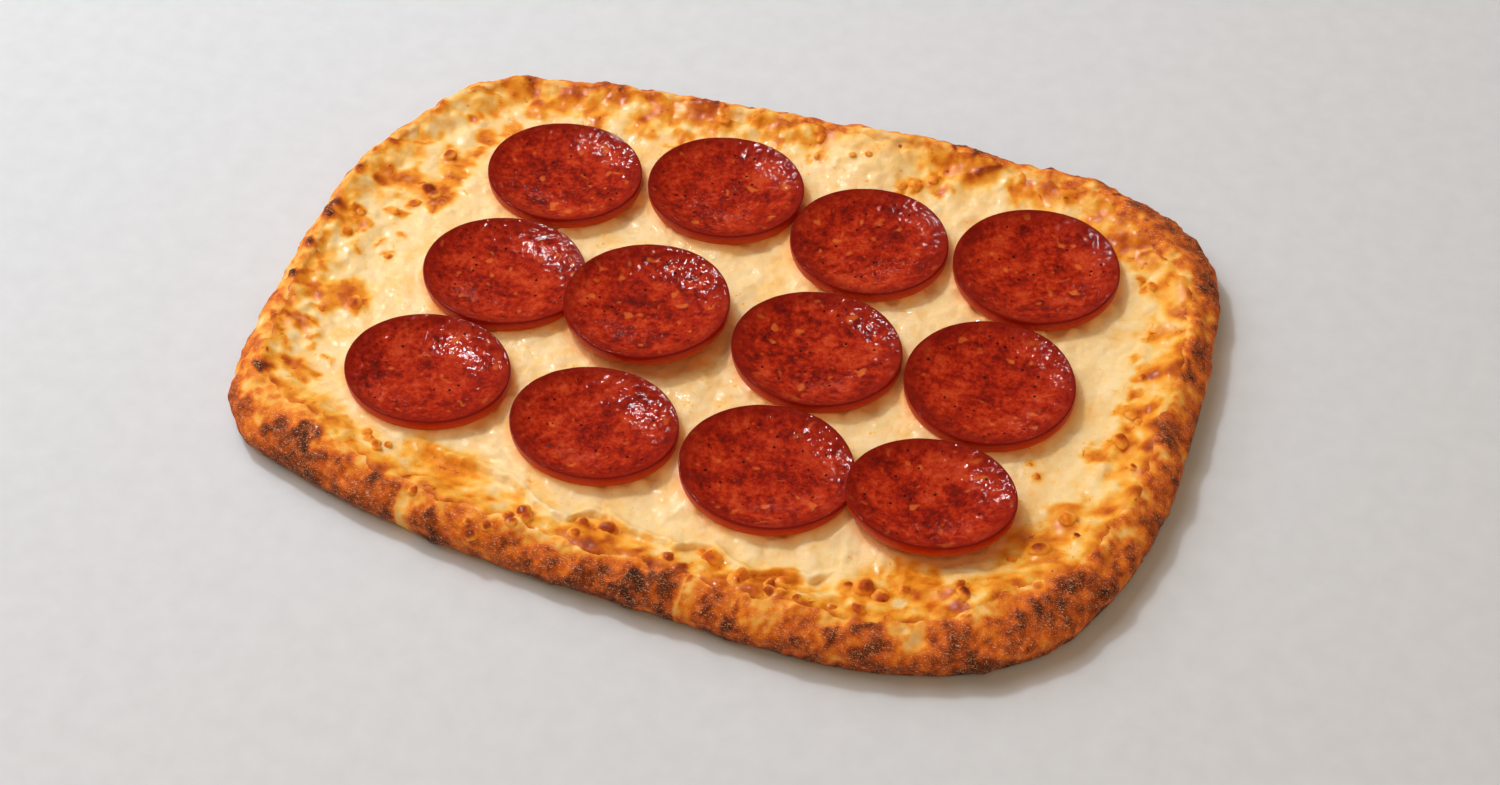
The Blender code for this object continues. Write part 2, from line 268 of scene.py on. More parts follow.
# The bare rim is wider at the near side and the right end, and widest at three corners
RIM_WIDTH = 8.0 * mm
RIM_WIDER_NEAR = 1.7 * mm
RIM_WIDER_RIGHT = 1.5 * mm
RIM_RAGGED = 1.1 * mm
RAGGED_SIZE = 11 * mm
BARE_CORNERS = ((-101 * mm, -62 * mm), (98 * mm, -68 * mm), (102 * mm, 70 * mm))
BARE_EXTRA = 6.5 * mm
BARE_REACH = 20 * mm

rim_width = RIM_WIDTH - RIM_WIDER_NEAR * edge[:, 1] / HALF[1]
rim_width += RIM_WIDER_RIGHT * edge[:, 0] / HALF[0] + RIM_RAGGED * lumps(edge, RAGGED_SIZE, 3)
for corner in BARE_CORNERS:
    rim_width += BARE_EXTRA * hump(np.hypot(*(edge - corner).T), BARE_REACH)
rim_uneven = 1.25 * mm * lumps(edge, 34 * mm, 5) + 0.7 * mm * lumps(edge, 12 * mm, 6)
print("bare rim, mm:", round(rim_width.min() / mm, 1), "to", round(rim_width.max() / mm, 1))

# %% [markdown]
# ## Where it is toasted
#
# An oven browns what stands up and what is thin: the rim's top, its outer side, the blisters
# and the cheese's margin. One number at each vertex, from 0 for pale to 1 for black, tells how
# far it went, and both the bread's and the cheese's finish read it. The large spots are where the
# real pizza has them, given by place, radius and depth. Noise bends their edges, because a round
# spot would look painted on.

# %% Toasted and burnt spots: x, y, radius in mm and how dark
LEFT_SPOTS = (
    (-113.5, -3, 2.5, 0.75), (-115, -9, 2.5, 0.7), (-112.5, -14, 2.2, 0.9), (-109, -8, 2, 0.62),
    (-105.5, -16.5, 2, 0.5), (-113.5, -22, 2, 0.62), (-112, -28.5, 2, 0.65), (-107, -27.5, 2.4, 0.75),
    (-104, -25.5, 1.6, 0.6), (-106.5, -33.5, 1.6, 0.6), (-113, -36, 2.8, 0.68), (-108, -45.5, 3, 0.86),
    (-104, -41.5, 2.2, 0.7), (-98.5, -43, 2.6, 0.5), (-98.5, -14, 4.2, 0.52), (-95, -16, 2.4, 0.74),
    (-112.5, 11, 3.6, 0.86), (-114, 27.5, 3, 0.75), (-111.5, 34.5, 2.2, 0.65), (-108, 39, 2, 0.7),
    (-108, 47, 3, 0.72), (-102.5, 56, 3, 0.66), (-96, 66, 2.5, 0.6), (-92, 68, 2.2, 0.7),
    (-81, 73, 3.5, 0.58), (-62, 79, 4, 0.82), (-50, 80, 3, 0.76), (-104, 29.5, 2.8, 0.5),
    (-99.5, 29.8, 3, 0.52), (-96.5, 29, 2.6, 0.55), (-93.5, 28.5, 2.4, 0.9), (-90, 26, 2, 0.68),
    (-88.3, 23.5, 1.8, 0.56), (-90, 30, 2.4, 0.55), (-88.7, 34, 2.6, 0.52), (-88.5, 38, 2.6, 0.5),
    (-90.5, 41, 2.2, 0.52), (-92.5, 42, 1.8, 0.74), (-94.5, 22.5, 1.4, 0.6),
    (-98, 17.5, 1.3, 0.5), (-106, 13.5, 1.5, 0.5), (-94, 11.5, 1.2, 0.45), (-104, 10, 1.4, 0.45),
    (-107, 6, 1.6, 0.5), (-94, 2.5, 1.2, 0.5), (-84, 51.5, 2.5, 0.45), (-80, 57, 2, 0.4),
    (-91, 57, 1.5, 0.45), (-87, 45, 1.5, 0.4), (-60, 67, 3, 0.45), (-47, 67, 2.5, 0.4),
    (-76, 65, 2, 0.4), (-43, 73, 2.5, 0.45),
)
NEAR_SPOTS = (
    (-112, -48, 5, 0.5), (-104, -52, 5, 0.5), (-97, -57, 4.5, 0.5), (-91, -55, 2.5, 0.55),
    (-82, -56.5, 2.5, 0.5), (-88, -64, 5, 0.7), (-86.5, -65, 2.6, 0.9), (-81, -68, 2.6, 0.8),
    (-76, -68.5, 2.2, 0.78), (-80, -73, 2.5, 0.8), (-66.5, -71.5, 4.2, 0.85), (-60.5, -69, 1.5, 0.55),
    (-56, -71.5, 1.8, 0.6), (-50, -76.5, 4.2, 0.85), (-48.5, -79, 2.4, 0.95), (-43, -76, 2, 0.75),
    (-52, -61, 6, 0.27), (-62, -57, 3, 0.3), (-13, -75, 3, 0.64), (-7, -72, 2.5, 0.6),
    (-11, -74, 6, 0.52), (-18.5, -77, 2.2, 0.8), (-17.5, -82, 1.4, 1), (-25, -80, 3, 0.74),
    (-2, -82, 4.6, 0.9), (3, -81, 4.6, 0.94), (8, -80, 4.6, 0.85), (11.5, -80.5, 4.2, 1),
    (13, -75.5, 2.4, 0.84), (11, -85, 3.4, 0.95), (28, -83, 3.5, 0.86), (50, -82, 3, 0.82),
    (87, -76, 3.5, 0.8), (79, -67, 2, 0.75), (76, -73, 2.5, 0.7), (92, -64, 3, 0.85),
    (98, -56, 2.5, 0.7), (62, -58, 3, 0.5), (68, -59, 3, 0.5), (75, -61, 3, 0.5),
    (35.5, -69.5, 3, 0.45), (26.5, -74, 3, 0.5), (54.5, -66, 4, 0.56), (59, -67.5, 3, 0.52),
)
RIGHT_SPOTS = (
    (101.5, -4, 3, 0.55), (97, -9, 2.5, 0.45), (95, -31.5, 3.5, 0.38), (91, -42.5, 5, 0.42),
    (91, -42, 2.3, 0.72), (102.5, 5.5, 2.5, 0.5), (102.5, 18.5, 1.8, 0.55), (100, 12, 1.5, 0.4),
    (99, 24, 1.5, 0.4), (107, 8, 2, 0.55), (108, 44, 2, 0.6), (97.5, 49.5, 1.4, 0.5),
    (94, 51.5, 1.4, 0.5), (105, -50, 2.4, 0.72), (109, -46, 2.5, 0.72), (115, -3, 2.5, 0.75),
    (110, -5, 1.5, 0.6), (112, 55, 2.5, 0.85), (109, 53, 2.5, 0.8), (108, 63, 2.5, 0.8),
    (104, 64, 3, 0.85),
)
FAR_SPOTS = (
    (-20, 82.5, 2.2, 0.8), (-12, 83, 2.2, 0.8), (-8, 82, 2, 0.75), (38, 83, 2.5, 0.8),
    (42, 81, 2, 0.75), (63, 82.5, 2.5, 0.8), (71, 81.5, 2.5, 0.8), (80, 79.5, 2.5, 0.75),
    (-31, 79.5, 3, 0.85), (-26, 78, 2, 0.6), (-25, 76, 3, 0.5), (-17, 80, 2, 0.6),
    (-16, 77, 2, 0.5), (-9, 71.5, 2, 0.5), (-5, 79.5, 2, 0.5), (1.5, 77.5, 2, 0.55),
    (-36, 67, 2, 0.5), (-42, 74, 2, 0.4), (15.5, 72.5, 1.3, 0.42), (2, 70, 1.5, 0.4),
    (30, 67.5, 2, 0.5), (26.5, 66, 1.5, 0.5), (34, 70.5, 2, 0.5), (38, 68, 1.5, 0.5),
    (37, 74, 1.5, 0.45), (57, 73.5, 2.5, 0.45), (100, 72, 3, 0.9), (98, 76, 3, 0.85),
    (91.5, 75, 3, 0.8), (83, 77, 2.5, 0.8), (92, 68, 2.2, 0.65), (91, 64, 2, 0.6),
    (88, 69, 9, 0.4),
)
SPOTS = LEFT_SPOTS + NEAR_SPOTS + RIGHT_SPOTS + FAR_SPOTS
SPOT_BENT = 3.2 * mm
SPOT_BEND_SIZE = 5 * mm
HALO_DEPTH = 0.42


def spots_at(points):
    """How dark the spots are at each point, the darkest one where several meet."""
    bent = np.array(points[:, :2])
    for axis in (0, 1):
        bent[:, axis] += SPOT_BENT * lumps(points[:, :2], SPOT_BEND_SIZE, 20 + axis)
        bent[:, axis] += SPOT_BENT / 2 * lumps(points[:, :2], SPOT_BEND_SIZE / 2.5, 22 + axis)
    dark = np.zeros(len(points))
    for x, y, radius, depth in SPOTS:
        away = np.hypot(bent[:, 0] - x * mm, bent[:, 1] - y * mm) / (radius * mm)
        dark = np.maximum(dark, depth * ease(away, 1.5, 0.2))
        dark = np.maximum(dark, min(depth, HALO_DEPTH) * ease(away, 2.2, 0.9))
    return dark


print("spots:", len(SPOTS))

# %% [markdown]
# Between the spots the colour runs from a brown outer side over orange and gold into the pale
# cheese, and it wanders in and out by some millimetres. Bread and cheese ask the same function,
# so the colour does not jump where one ends and the other starts. At the near side two folds
# in the dough shaded what lies to their right, which stayed paler.

# %% The gradual browning towards the edge
BROWNING_STEPS = (-11, -8.5, -6, -3.5, -1, 2, 5.5, 10, 15)
BROWNED = (0.72, 0.66, 0.57, 0.45, 0.35, 0.25, 0.15, 0.06, 0.02)
DARKER_NEAR = 0.5
DARKER_RIGHT = 0.9
PALER_LEFT = 2.6
PALER_FAR = -1.5
BARE_AT_LEAST = 0.30
# Each fold's shaded side: x and y where it starts, its width in mm, and how dark it may get
SEAMS = ((15, -74, 1.6, 0.42), (-58.5, -68, 7, 0.36))
SEAM_LEAN = 0.16


def hold_back(toast, above, keep):
    """Keeps only a share of the toast above a level, so that little of it turns black."""
    return np.where(toast > above, above + keep * (toast - above), toast)


def browning(points, inside):
    """How far the oven took the surface, by place and distance inside the cheese's edge."""
    plan = points[:, :2]
    x, y = plan.T / mm
    wander = inside / mm + 6 * lumps(plan, 13 * mm, 55) + 4 * lumps(plan, 4.5 * mm, 57)
    wander += 1.6 * lumps(plan, 1.9 * mm, 58)
    wander -= DARKER_NEAR * ease(-y, 50, 75) + DARKER_RIGHT * ease(x, 70, 105)
    wander += PALER_LEFT * ease(-x, 70, 105) + PALER_FAR * ease(y, 50, 75)
    toast = np.maximum(np.interp(wander, BROWNING_STEPS, BROWNED), spots_at(points))
    for seam_x, seam_y, wide, depth in SEAMS:
        past = x - seam_x - SEAM_LEAN * (y - seam_y) + 1.5 * lumps(plan, 4 * mm, 59)
        pale = ease(past, 0, 0.6) * ease(past, wide, 0.4 * wide) * ease(-y, -seam_y, 3 - seam_y)
        toast += pale * (np.minimum(toast, depth) - toast)
    toast = hold_back(toast, 0.6, 0.7)
    return np.maximum(toast, BARE_AT_LEAST * ease(-inside, 0, 3 * mm))


print("brown side to pale cheese, mm:", BROWNING_STEPS[-1] - BROWNING_STEPS[0])

# %% [markdown]
# ## The bread
#
# In section the rim is a half-round that stands on a rounded foot, and inside it slopes down to
# the flat floor under the cheese. A lathe would make one section all round. Instead a flat grid
# is rolled up: one of its directions runs round the outline, the other along the section. Each
# grid point finds its ring by its place on the flat grid, and the two ends are merged. That
# keeps the squares even, and they are small enough to carry the skin's relief.

# %% The bread's section: inset, share of the rim's width, height, share of the unevenness
BREAD_SECTION = np.array((
    (3.5 * mm, 0.0, 0.0, 0.0),
    (1.2 * mm, 0.0, 1.2 * mm, 0.0),
    (0.0, 0.0, 4.0 * mm, 0.0),
    (0.3 * mm, 0.0, 7.4 * mm, 0.5),
    (0.0, 0.38, 10.4 * mm, 1.0),
    (0.0, 0.70, 11.9 * mm, 1.0),
    (0.0, 1.0, 11.0 * mm, 0.8),
    (4.0 * mm, 1.0, 8.6 * mm, 0.3),
    (9.0 * mm, 1.0, 6.4 * mm, 0.0),
    (16.0 * mm, 1.0, 5.4 * mm, 0.0),
))
# The section's row where the cheese starts, and how many rows each of its rows is drawn as
CHEESE_STARTS = 6
BETWEEN = 16


def smooth_rows(rows, steps):
    """The rows with others in between, on one curve through them all."""
    padded = np.concatenate([rows[:1], rows, rows[-1:]])
    t = (np.arange(steps) / steps)[:, None]
    made = []
    for before, start, end, after in zip(padded, padded[1:], padded[2:], padded[3:]):
        bend = 2 * before - 5 * start + 4 * end - after
        twist = 3 * start - before - 3 * end + after
        made.append(start + t * (end - before) / 2 + t**2 * bend / 2 + t**3 * twist / 2)
    return np.concatenate([*made, rows[-1:]])


section = smooth_rows(BREAD_SECTION, BETWEEN)
section[:, 0] = np.maximum(section[:, 0], 0)
floor_rows = section[CHEESE_STARTS * BETWEEN :]
print("section rows:", len(section))

# %% Roll a grid up into the bread
ROW_STEP = 0.52 * mm
HIDDEN_ROWS = 8
SEEN_UNDER_CHEESE = 5 * mm
SHRUNK = 0.1 * mm

mean_rim = rim_width.mean()
walk_in = section[:, 0] + section[:, 1] * mean_rim
walked = np.concatenate([[0], np.cumsum(np.hypot(np.diff(walk_in), np.diff(section[:, 2])))])
seen_end = np.interp(mean_rim + SEEN_UNDER_CHEESE, walk_in[CHEESE_STARTS * BETWEEN :],
                     walked[CHEESE_STARTS * BETWEEN :])
marks = np.concatenate([np.arange(0, seen_end, ROW_STEP),
                        np.linspace(seen_end, walked[-1], HIDDEN_ROWS)])
rows = np.stack([np.interp(marks, walked, section[:, part]) for part in range(4)], axis=1)

crust = start_shape(
    bpy.ops.mesh.primitive_grid_add, "bread_crust",
    x_subdivisions=COLUMNS, y_subdivisions=len(rows) - 1, size=2,
)
flat = points_of(crust)
column = np.rint((flat[:, 0] + 1) / 2 * COLUMNS).astype(int) % COLUMNS
row = np.rint((flat[:, 1] + 1) / 2 * (len(rows) - 1)).astype(int)
rings = np.stack([ring(SHRUNK + inset + share * rim_width) for inset, share, _, _ in rows])
heights = rows[:, 2, None] + rows[:, 3, None] * rim_uneven[None, :]
grid = np.concatenate([rings, heights[:, :, None]], axis=2)
print("bread grid:", grid.shape[0], "rows of", grid.shape[1])

# %% [markdown]
# The skin of baked dough has relief of many sizes: soft bulges where gas pushed it up, small
# pits, and a dry grain. Each is one layer of noise, and the points move along the surface's own
# direction, so the rim's side gets as much as its top. Where it is burnt it stands up a little,
# because that is why it burnt. The foot stays flat on the floor.

# %% Raise the bread's relief
round_way = np.roll(grid, -1, axis=1) - np.roll(grid, 1, axis=1)
up_way = np.gradient(grid, axis=0)
out_way = np.cross(round_way, up_way)
out_way /= np.linalg.norm(out_way, axis=2)[:, :, None]

BUBBLES = 44
BUBBLE_SEED = 5
draw = Random(BUBBLE_SEED)
skin = grid.reshape(-1, 3)
# Each layer of relief: its height in mm, and the size of its lumps
bulges = 0.75 * lumps(skin, 8 * mm, 1) + 0.50 * lumps(skin, 3.8 * mm, 2)
grain = 0.22 * lumps(skin, 1.7 * mm, 3) + 0.13 * lumps(skin, 0.9 * mm, 4)
pits = -0.40 * ease(lumps(skin, 2.6 * mm, 5), 0.30, 0.62)
bubbles = np.zeros(len(skin))
for _ in range(BUBBLES):
    at = draw.randrange(COLUMNS)
    middle = grid[draw.randrange(len(rows) // 4, len(rows) * 2 // 3), at]
    reach = draw.uniform(1.6, 4.2) * mm
    away = np.linalg.norm(skin - middle, axis=1)
    bubbles = np.maximum(bubbles, draw.uniform(0.35, 0.9) * hump(away, reach))
burnt = spots_at(skin)
loose = ease(skin[:, 2], 0.3 * mm, 3 * mm)
hidden = np.repeat(ease(rows[:, 0] * (rows[:, 1] == 1), 3 * mm, 6 * mm), COLUMNS)
relief = (bulges + grain + pits + bubbles + 0.5 * ease(burnt, 0.55, 0.95)) * loose * (1 - hidden)
skin = skin + out_way.reshape(-1, 3) * relief[:, None] * mm
skin = np.clip(skin, list(bread_low), [bread_high.x, bread_high.y, packed_box[1][2]])
print("bread relief, mm:", round(relief.min(), 2), "to", round(relief.max(), 2))

# %% How far the bread is toasted
past_edge = (rows[:, 0] * (rows[:, 1] == 1))[:, None] + (rows[:, 1, None] - 1) * rim_width
toast = browning(skin, past_edge.ravel())
# The rim's foot is browner, patches of three sizes cover it all, and what stands up is darker
toast += 0.14 * ease(skin[:, 2], 7 * mm, 1.5 * mm) * ease(-past_edge.ravel(), 4 * mm, 6 * mm)
patches = 0.22 * lumps(skin, 9 * mm, 11) + 0.22 * lumps(skin, 3.6 * mm, 12)
toast += patches + 0.15 * lumps(skin, 1.5 * mm, 13)
toast += 0.14 * np.clip(relief, -1, 1) - 0.05
toast = hold_back(toast, 0.7, 0.8)
move_points(crust, skin[row * COLUMNS + column])
keep_value(crust, "toast", toast[row * COLUMNS + column])

bpy.ops.object.mode_set(mode="EDIT")
bpy.ops.mesh.select_all(action="SELECT")
bpy.ops.mesh.remove_doubles(threshold=0.01 * mm)
bpy.ops.mesh.region_to_loop()
bpy.ops.mesh.edge_face_add()
bpy.ops.mesh.select_all(action="SELECT")
bpy.ops.mesh.normals_make_consistent(inside=False)
bpy.ops.object.mode_set(mode="OBJECT")
bpy.ops.object.shade_smooth()
print("bread triangles:", count_triangles(crust))

# %% [markdown]
# ## The cheese
#
# Shredded cheese melts into one sheet, thick in the middle, thin on the rim, and it keeps a
# memory of its shreds as soft ridges. It is a grid again, this time laid flat: its square
# border is moved out to the cheese's own edge and the rest follows, so the squares stay even.
# Every height is then a sum of named layers over the bread's floor.

# %% Stretch a grid to the cheese's edge
CHEESE_ACROSS = 344
CHEESE_DEEP = 242
TUCKED = 4.0 * mm

cheese = start_shape(
    bpy.ops.mesh.primitive_grid_add, "melted_cheese",
    x_subdivisions=CHEESE_ACROSS, y_subdivisions=CHEESE_DEEP, size=2,
)
flat = points_of(cheese)[:, :2]
border = ring(rim_width - TUCKED)
FOUR_WAYS = ((1, -1), (1, 1), (-1, 1), (-1, -1))
starts = np.array([np.argmax(border @ (np.array(way) / HALF)) for way in FOUR_WAYS])
reach = np.maximum(np.abs(flat[:, 0]), np.abs(flat[:, 1]))
unit = flat / np.maximum(reach, 1e-9)[:, None]
side = np.select(
    [unit[:, 0] > 0.999999, unit[:, 1] > 0.999999, unit[:, 0] < -0.999999],
    [0, 1, 2], default=3,
)
share = np.select(
    [side == 0, side == 1, side == 2],
    [(unit[:, 1] + 1) / 2, (1 - unit[:, 0]) / 2, (1 - unit[:, 1]) / 2],
    default=(unit[:, 0] + 1) / 2,
)
spans = (np.roll(starts, -1) - starts) % COLUMNS
place = (starts[side] + share * spans[side]) % COLUMNS
circled = np.concatenate([border, border[:1]])
marks = np.arange(COLUMNS + 1)
plan = np.stack([np.interp(place, marks, circled[:, axis]) for axis in (0, 1)], axis=1)
plan *= reach[:, None]
print("cheese grid:", CHEESE_ACROSS, "by", CHEESE_DEEP, "squares")

# %% How far each point lies inside the cheese's edge
cheese_edge = ring(rim_width)
finder = KDTree(COLUMNS)
for number, (x, y) in enumerate(cheese_edge):
    finder.insert((x, y, 0), number)
finder.balance()
nearest = np.array([finder.find((x, y, 0))[1] for x, y in plan])
gap_to_edge = plan - cheese_edge[nearest]
inside = np.sign((gap_to_edge * INWARD[nearest]).sum(axis=1)) * np.hypot(*gap_to_edge.T)
print("deepest point inside, mm:", round(inside.max() / mm))

# %% The bread's floor under the cheese
past = floor_rows[:, 0]
floor = np.interp(inside, past, floor_rows[:, 2])
floor += np.interp(inside, past, floor_rows[:, 3]) * rim_uneven[nearest]
crust_tree = BVHTree.FromObject(crust, bpy.context.evaluated_depsgraph_get())
DOWN = Vector((0, 0, -1))
WELL_ABOVE = 100 * mm
ON_CRUST = 6 * mm
for number in np.flatnonzero(inside < ON_CRUST):
    hit = crust_tree.ray_cast(Vector((*plan[number], WELL_ABOVE)), DOWN)[0]
    if hit:
        keep = ease(inside[number], 2.5 * mm, ON_CRUST)
        floor[number] = keep * floor[number] + (1 - keep) * hit.z
print("floor, mm:", round(floor.min() / mm, 1), "to", round(floor.max() / mm, 1))

# %% [markdown]
# On the near side the thick cheese stopped short of the rim and ends in a rounded front with a low lip,
# like a slow wave on a beach. Its line is given point by point. Elsewhere it thins out gently.

# %% The thick cheese and its front on the near side
MELT_FRONT = (
    (-62, -55), (-56, -56.5), (-50, -57.5), (-46, -57), (-36, -59.5), (-31.5, -62), (-29, -64.5),
    (-22, -68), (-18, -68), (-16, -64), (-10, -63), (-4, -66), (5, -66.5), (9, -68.5),
    (13, -65), (17, -64.5), (23, -68.5), (28, -70), (33, -67), (42, -67), (50, -60),
)
THIN_CHEESE = 1.45
THICK_CHEESE = 2.45
FRONT_DROP = 0.45
FRONT_LIP = 0.50
# How thick the cheese is at these distances inside its edge, all in mm
EDGE_STEPS = (-4.0, -2.4, -0.8, 1.4, 4.0, 6.5)
EDGE_THICKNESS = (-0.95, -0.4, 0.05, 0.45, 0.95, THIN_CHEESE)

front_x, front_y = np.array(MELT_FRONT).T * mm
past_front = plan[:, 1] - np.interp(plan[:, 0], front_x, front_y) + 0.6 * mm * lumps(plan, 2.5 * mm, 31)
at_front = ease(plan[:, 0], front_x[0], front_x[1]) * ease(plan[:, 0], front_x[-1], front_x[-2])
at_front *= ease(plan[:, 1], -30 * mm, -45 * mm)
soft_front = ease(inside + 1.3 * mm * lumps(plan, 6 * mm, 32), 5 * mm, 9 * mm)
crisp_front = ease(past_front, -0.4 * mm, 0.7 * mm)
crisp_front += FRONT_LIP * hump(past_front - 1.2 * mm, 1.0 * mm)
thick = soft_front * (1 - at_front) + crisp_front * at_front
ragged_edge = inside + 4 * mm * lumps(plan, 9 * mm, 33) + 1.6 * mm * lumps(plan, 3.5 * mm, 34)
thinner_far = 1.8 * mm * ease(plan[:, 1], 55 * mm, 75 * mm)
thinner_left = 1 * mm * ease(-plan[:, 0], 85 * mm, 105 * mm)
ragged_edge -= thinner_far + thinner_left
thickness = np.interp(ragged_edge / mm, EDGE_STEPS, EDGE_THICKNESS)
thickness = np.minimum(thickness, np.interp(inside / mm, (-4.0, -2.6), (-0.95, 0.6)))
thickness += (THICK_CHEESE - THIN_CHEESE) * thick
thickness -= FRONT_DROP * at_front * (1 - thick) * ease(inside, 0, 3 * mm)
print("cheese thickness, mm:", round(thickness.min(), 1), "to", round(thickness.max(), 1))

# %% The memory of the shreds
SHREDS = 1400
SHRED_SEED = 11
draw = Random(SHRED_SEED)
warped = plan + 1.2 * mm * np.stack([lumps(plan, 5 * mm, 41), lumps(plan, 5 * mm, 42)], axis=1)
shreds = np.zeros(len(plan))
for _ in range(SHREDS):
    middle = np.array([draw.uniform(-0.94, 0.94), draw.uniform(-0.94, 0.94)]) * HALF
    angle = draw.uniform(0, pi)
    half_length = draw.uniform(0.8, 3.4) * mm
    radius = draw.uniform(1.3, 2.6) * mm
    tall = draw.uniform(0.12, 0.36)
    close = np.flatnonzero(np.abs(warped - middle).max(axis=1) < half_length + radius)
    offset = warped[close] - middle
    along = np.array([cos(angle), sin(angle)])
    on_line = np.clip(offset @ along, -half_length, half_length)
    away = np.hypot(*(offset - on_line[:, None] * along).T)
    shreds[close] = np.maximum(shreds[close], tall * (1 - np.minimum(away / radius, 1) ** 2))
print("shreds:", SHREDS)

# %% [markdown]
# Gas lifted the cheese into small crisp blisters, most of them along the near rim, and into one
# large pale bubble near the far edge. The crisp ones are modelled as domes further down. Here
# the cheese only rises towards their feet. A few blisters burst and left low rings.

# %% Blisters: x, y, radius in mm and how dark
BLISTERS = (
    (-38.5, -78, 1.8, 0.85), (-35.5, -75.5, 1.6, 0.72), (-31.5, -72.5, 1.7, 0.72),
    (-30, -74.2, 1.5, 0.66), (-28.5, -69.5, 1.8, 0.76), (-27, -71.5, 1.5, 0.7), (-32, -70.5, 0.8, 0.6),
    (-40.5, -76, 1.0, 0.66), (-15, -67, 1.5, 0.7), (-9, -66.5, 2.3, 0.76), (-15, -72, 1.5, 0.66),
    (8.5, -73, 2.0, 0.7), (18, -67.5, 2.4, 0.6), (15, -66.5, 1.4, 0.5), (26.5, -74, 2.7, 0.6),
    (33.8, -73.4, 1.6, 0.7), (34.6, -75.4, 1.6, 0.72), (37.4, -75.2, 1.1, 0.5), (36, -69.5, 1.6, 0.58),
    (41.5, -76, 1.1, 0.66), (51, -66, 1.2, 0.74), (54.5, -65.5, 2.5, 0.7), (59, -67, 2.1, 0.64),
    (55.5, -73.5, 1.9, 0.68), (49.5, -75, 1.3, 0.6), (75.5, -58.5, 1.5, 0.66), (77.5, -62, 1.7, 0.8),
    (63.5, -63, 1.5, 0.6), (101.5, -4, 2.0, 0.7), (106.5, -12.5, 1.0, 0.7), (84.5, -19.5, 0.9, 0.6),
    (82, -16.5, 0.8, 0.5), (95, -31.5, 2.0, 0.5), (98.5, -37, 1.1, 0.72), (91, -42.5, 2.2, 0.76),
    (85, -46.5, 1.2, 0.6), (93.5, -54.5, 1.4, 0.56), (102.5, 5.5, 1.5, 0.56), (104.5, 3, 1.1, 0.5),
    (102.5, 18.5, 1.5, 0.6), (97.5, 49.5, 1.2, 0.56), (94, 51.5, 1.0, 0.5), (-94.5, 22.5, 1.3, 0.62),
    (-98, 17.5, 1.1, 0.52), (-92.5, 42, 1.6, 0.7), (-93.5, 28.5, 2.2, 0.84), (-90.6, 26.4, 1.5, 0.72),
    (-95, -16, 1.9, 0.7), (-106, 13.5, 1.2, 0.52), (-107, 6, 1.4, 0.55), (-94, 2.5, 1.0, 0.5),
    (-75, -56, 1.2, 0.5), (-73.5, -58, 1.4, 0.56), (-71, -59.5, 1.2, 0.6), (-68.5, -58.5, 1.0, 0.5),
    (-70, -61.2, 1.1, 0.52), (-56, -71.5, 1.3, 0.62), (15.5, 72.5, 1.0, 0.44), (11.5, 71, 0.9, 0.4),
    (30, 67.5, 1.7, 0.46), (26.5, 66, 1.3, 0.46), (34, 70.5, 1.4, 0.48), (2, 70, 1.0, 0.42),
    (-25.5, 74.5, 1.4, 0.56), (1.5, 75.5, 1.3, 0.52),
)
print("blisters:", len(BLISTERS))

# %% Rings, folds and the large bubble
# Each ring: x, y and radius in mm
RINGS = (
    (-95, -37, 1.8), (-104, -22.5, 2.0), (-98, -33, 1.5), (70, -67, 4.6), (-101, -29, 1.4),
    (-99, 6, 1.5), (-88, 63, 1.8), (-66, 70.5, 2.0), (-104, -36, 1.3), (-102, 2, 1.2),
    (-101, 44, 1.6), (99, 33, 1.6),
)
# Each fold: from where, to where, half its width and its height in mm, and how dark
FOLDS = (
    (45, 75.4, 50, 78.6, 1.3, 0.95, 0.72), (51.5, 79.4, 55, 79.7, 1.1, 0.8, 0.74),
    (93, 58.6, 96, 60.2, 1.1, 0.8, 0.66), (96, 60.2, 99, 57.8, 1.1, 0.8, 0.74),
    (-19, -79, -17.5, -76.5, 1.0, 0.6, 0.7),
)
BUBBLE_PLACE = np.array((16, 72)) * mm
BUBBLE_HALF = np.array((11, 8)) * mm
BUBBLE_RISE = 2.6
FEET_RISE = 0.50

feet = np.zeros(len(plan))
browned = browning(plan, inside)
for x, y, radius, depth in BLISTERS:
    away = np.hypot(plan[:, 0] - x * mm, plan[:, 1] - y * mm) / (radius * mm)
    feet = np.maximum(feet, FEET_RISE * radius * hump(away, 1.25))
    browned = np.maximum(browned, 0.52 * depth * hump(away, 1.9))
curled = warped + 1.1 * mm * np.stack([lumps(plan, 2 * mm, 61), lumps(plan, 2 * mm, 62)], axis=1)
for number, (x, y, radius) in enumerate(RINGS):
    offset = (curled - (x * mm, y * mm)) / mm
    away = np.hypot(*offset.T)
    shut = ease(np.cos(np.arctan2(offset[:, 1], offset[:, 0]) - 1.2 - number), -0.3, 0.7)
    feet += shut * 0.40 * hump(away - radius, 0.7) - 0.12 * hump(away, 0.7 * radius)
    browned = np.maximum(browned, 0.40 * shut * hump(away - radius, 0.8))
for x1, y1, x2, y2, radius, tall, depth in FOLDS:
    start, end = np.array((x1, y1)), np.array((x2, y2))
    offset = plan / mm - start
    on_line = np.clip(offset @ (end - start) / ((end - start) @ (end - start)), 0, 1)
    away = np.hypot(*(offset - on_line[:, None] * (end - start)).T) / radius
    feet = np.maximum(feet, tall * hump(away, 1))
    browned = np.maximum(browned, depth * hump(away, 1.1))
swollen = BUBBLE_RISE * np.exp(-np.hypot(*((plan - BUBBLE_PLACE) / BUBBLE_HALF).T) ** 2.6)
print("rings:", len(RINGS), "folds:", len(FOLDS), "cheese rises, mm:", round(feet.max(), 1))

# %% Add up the cheese's height
LEAST_CHEESE = 0.35

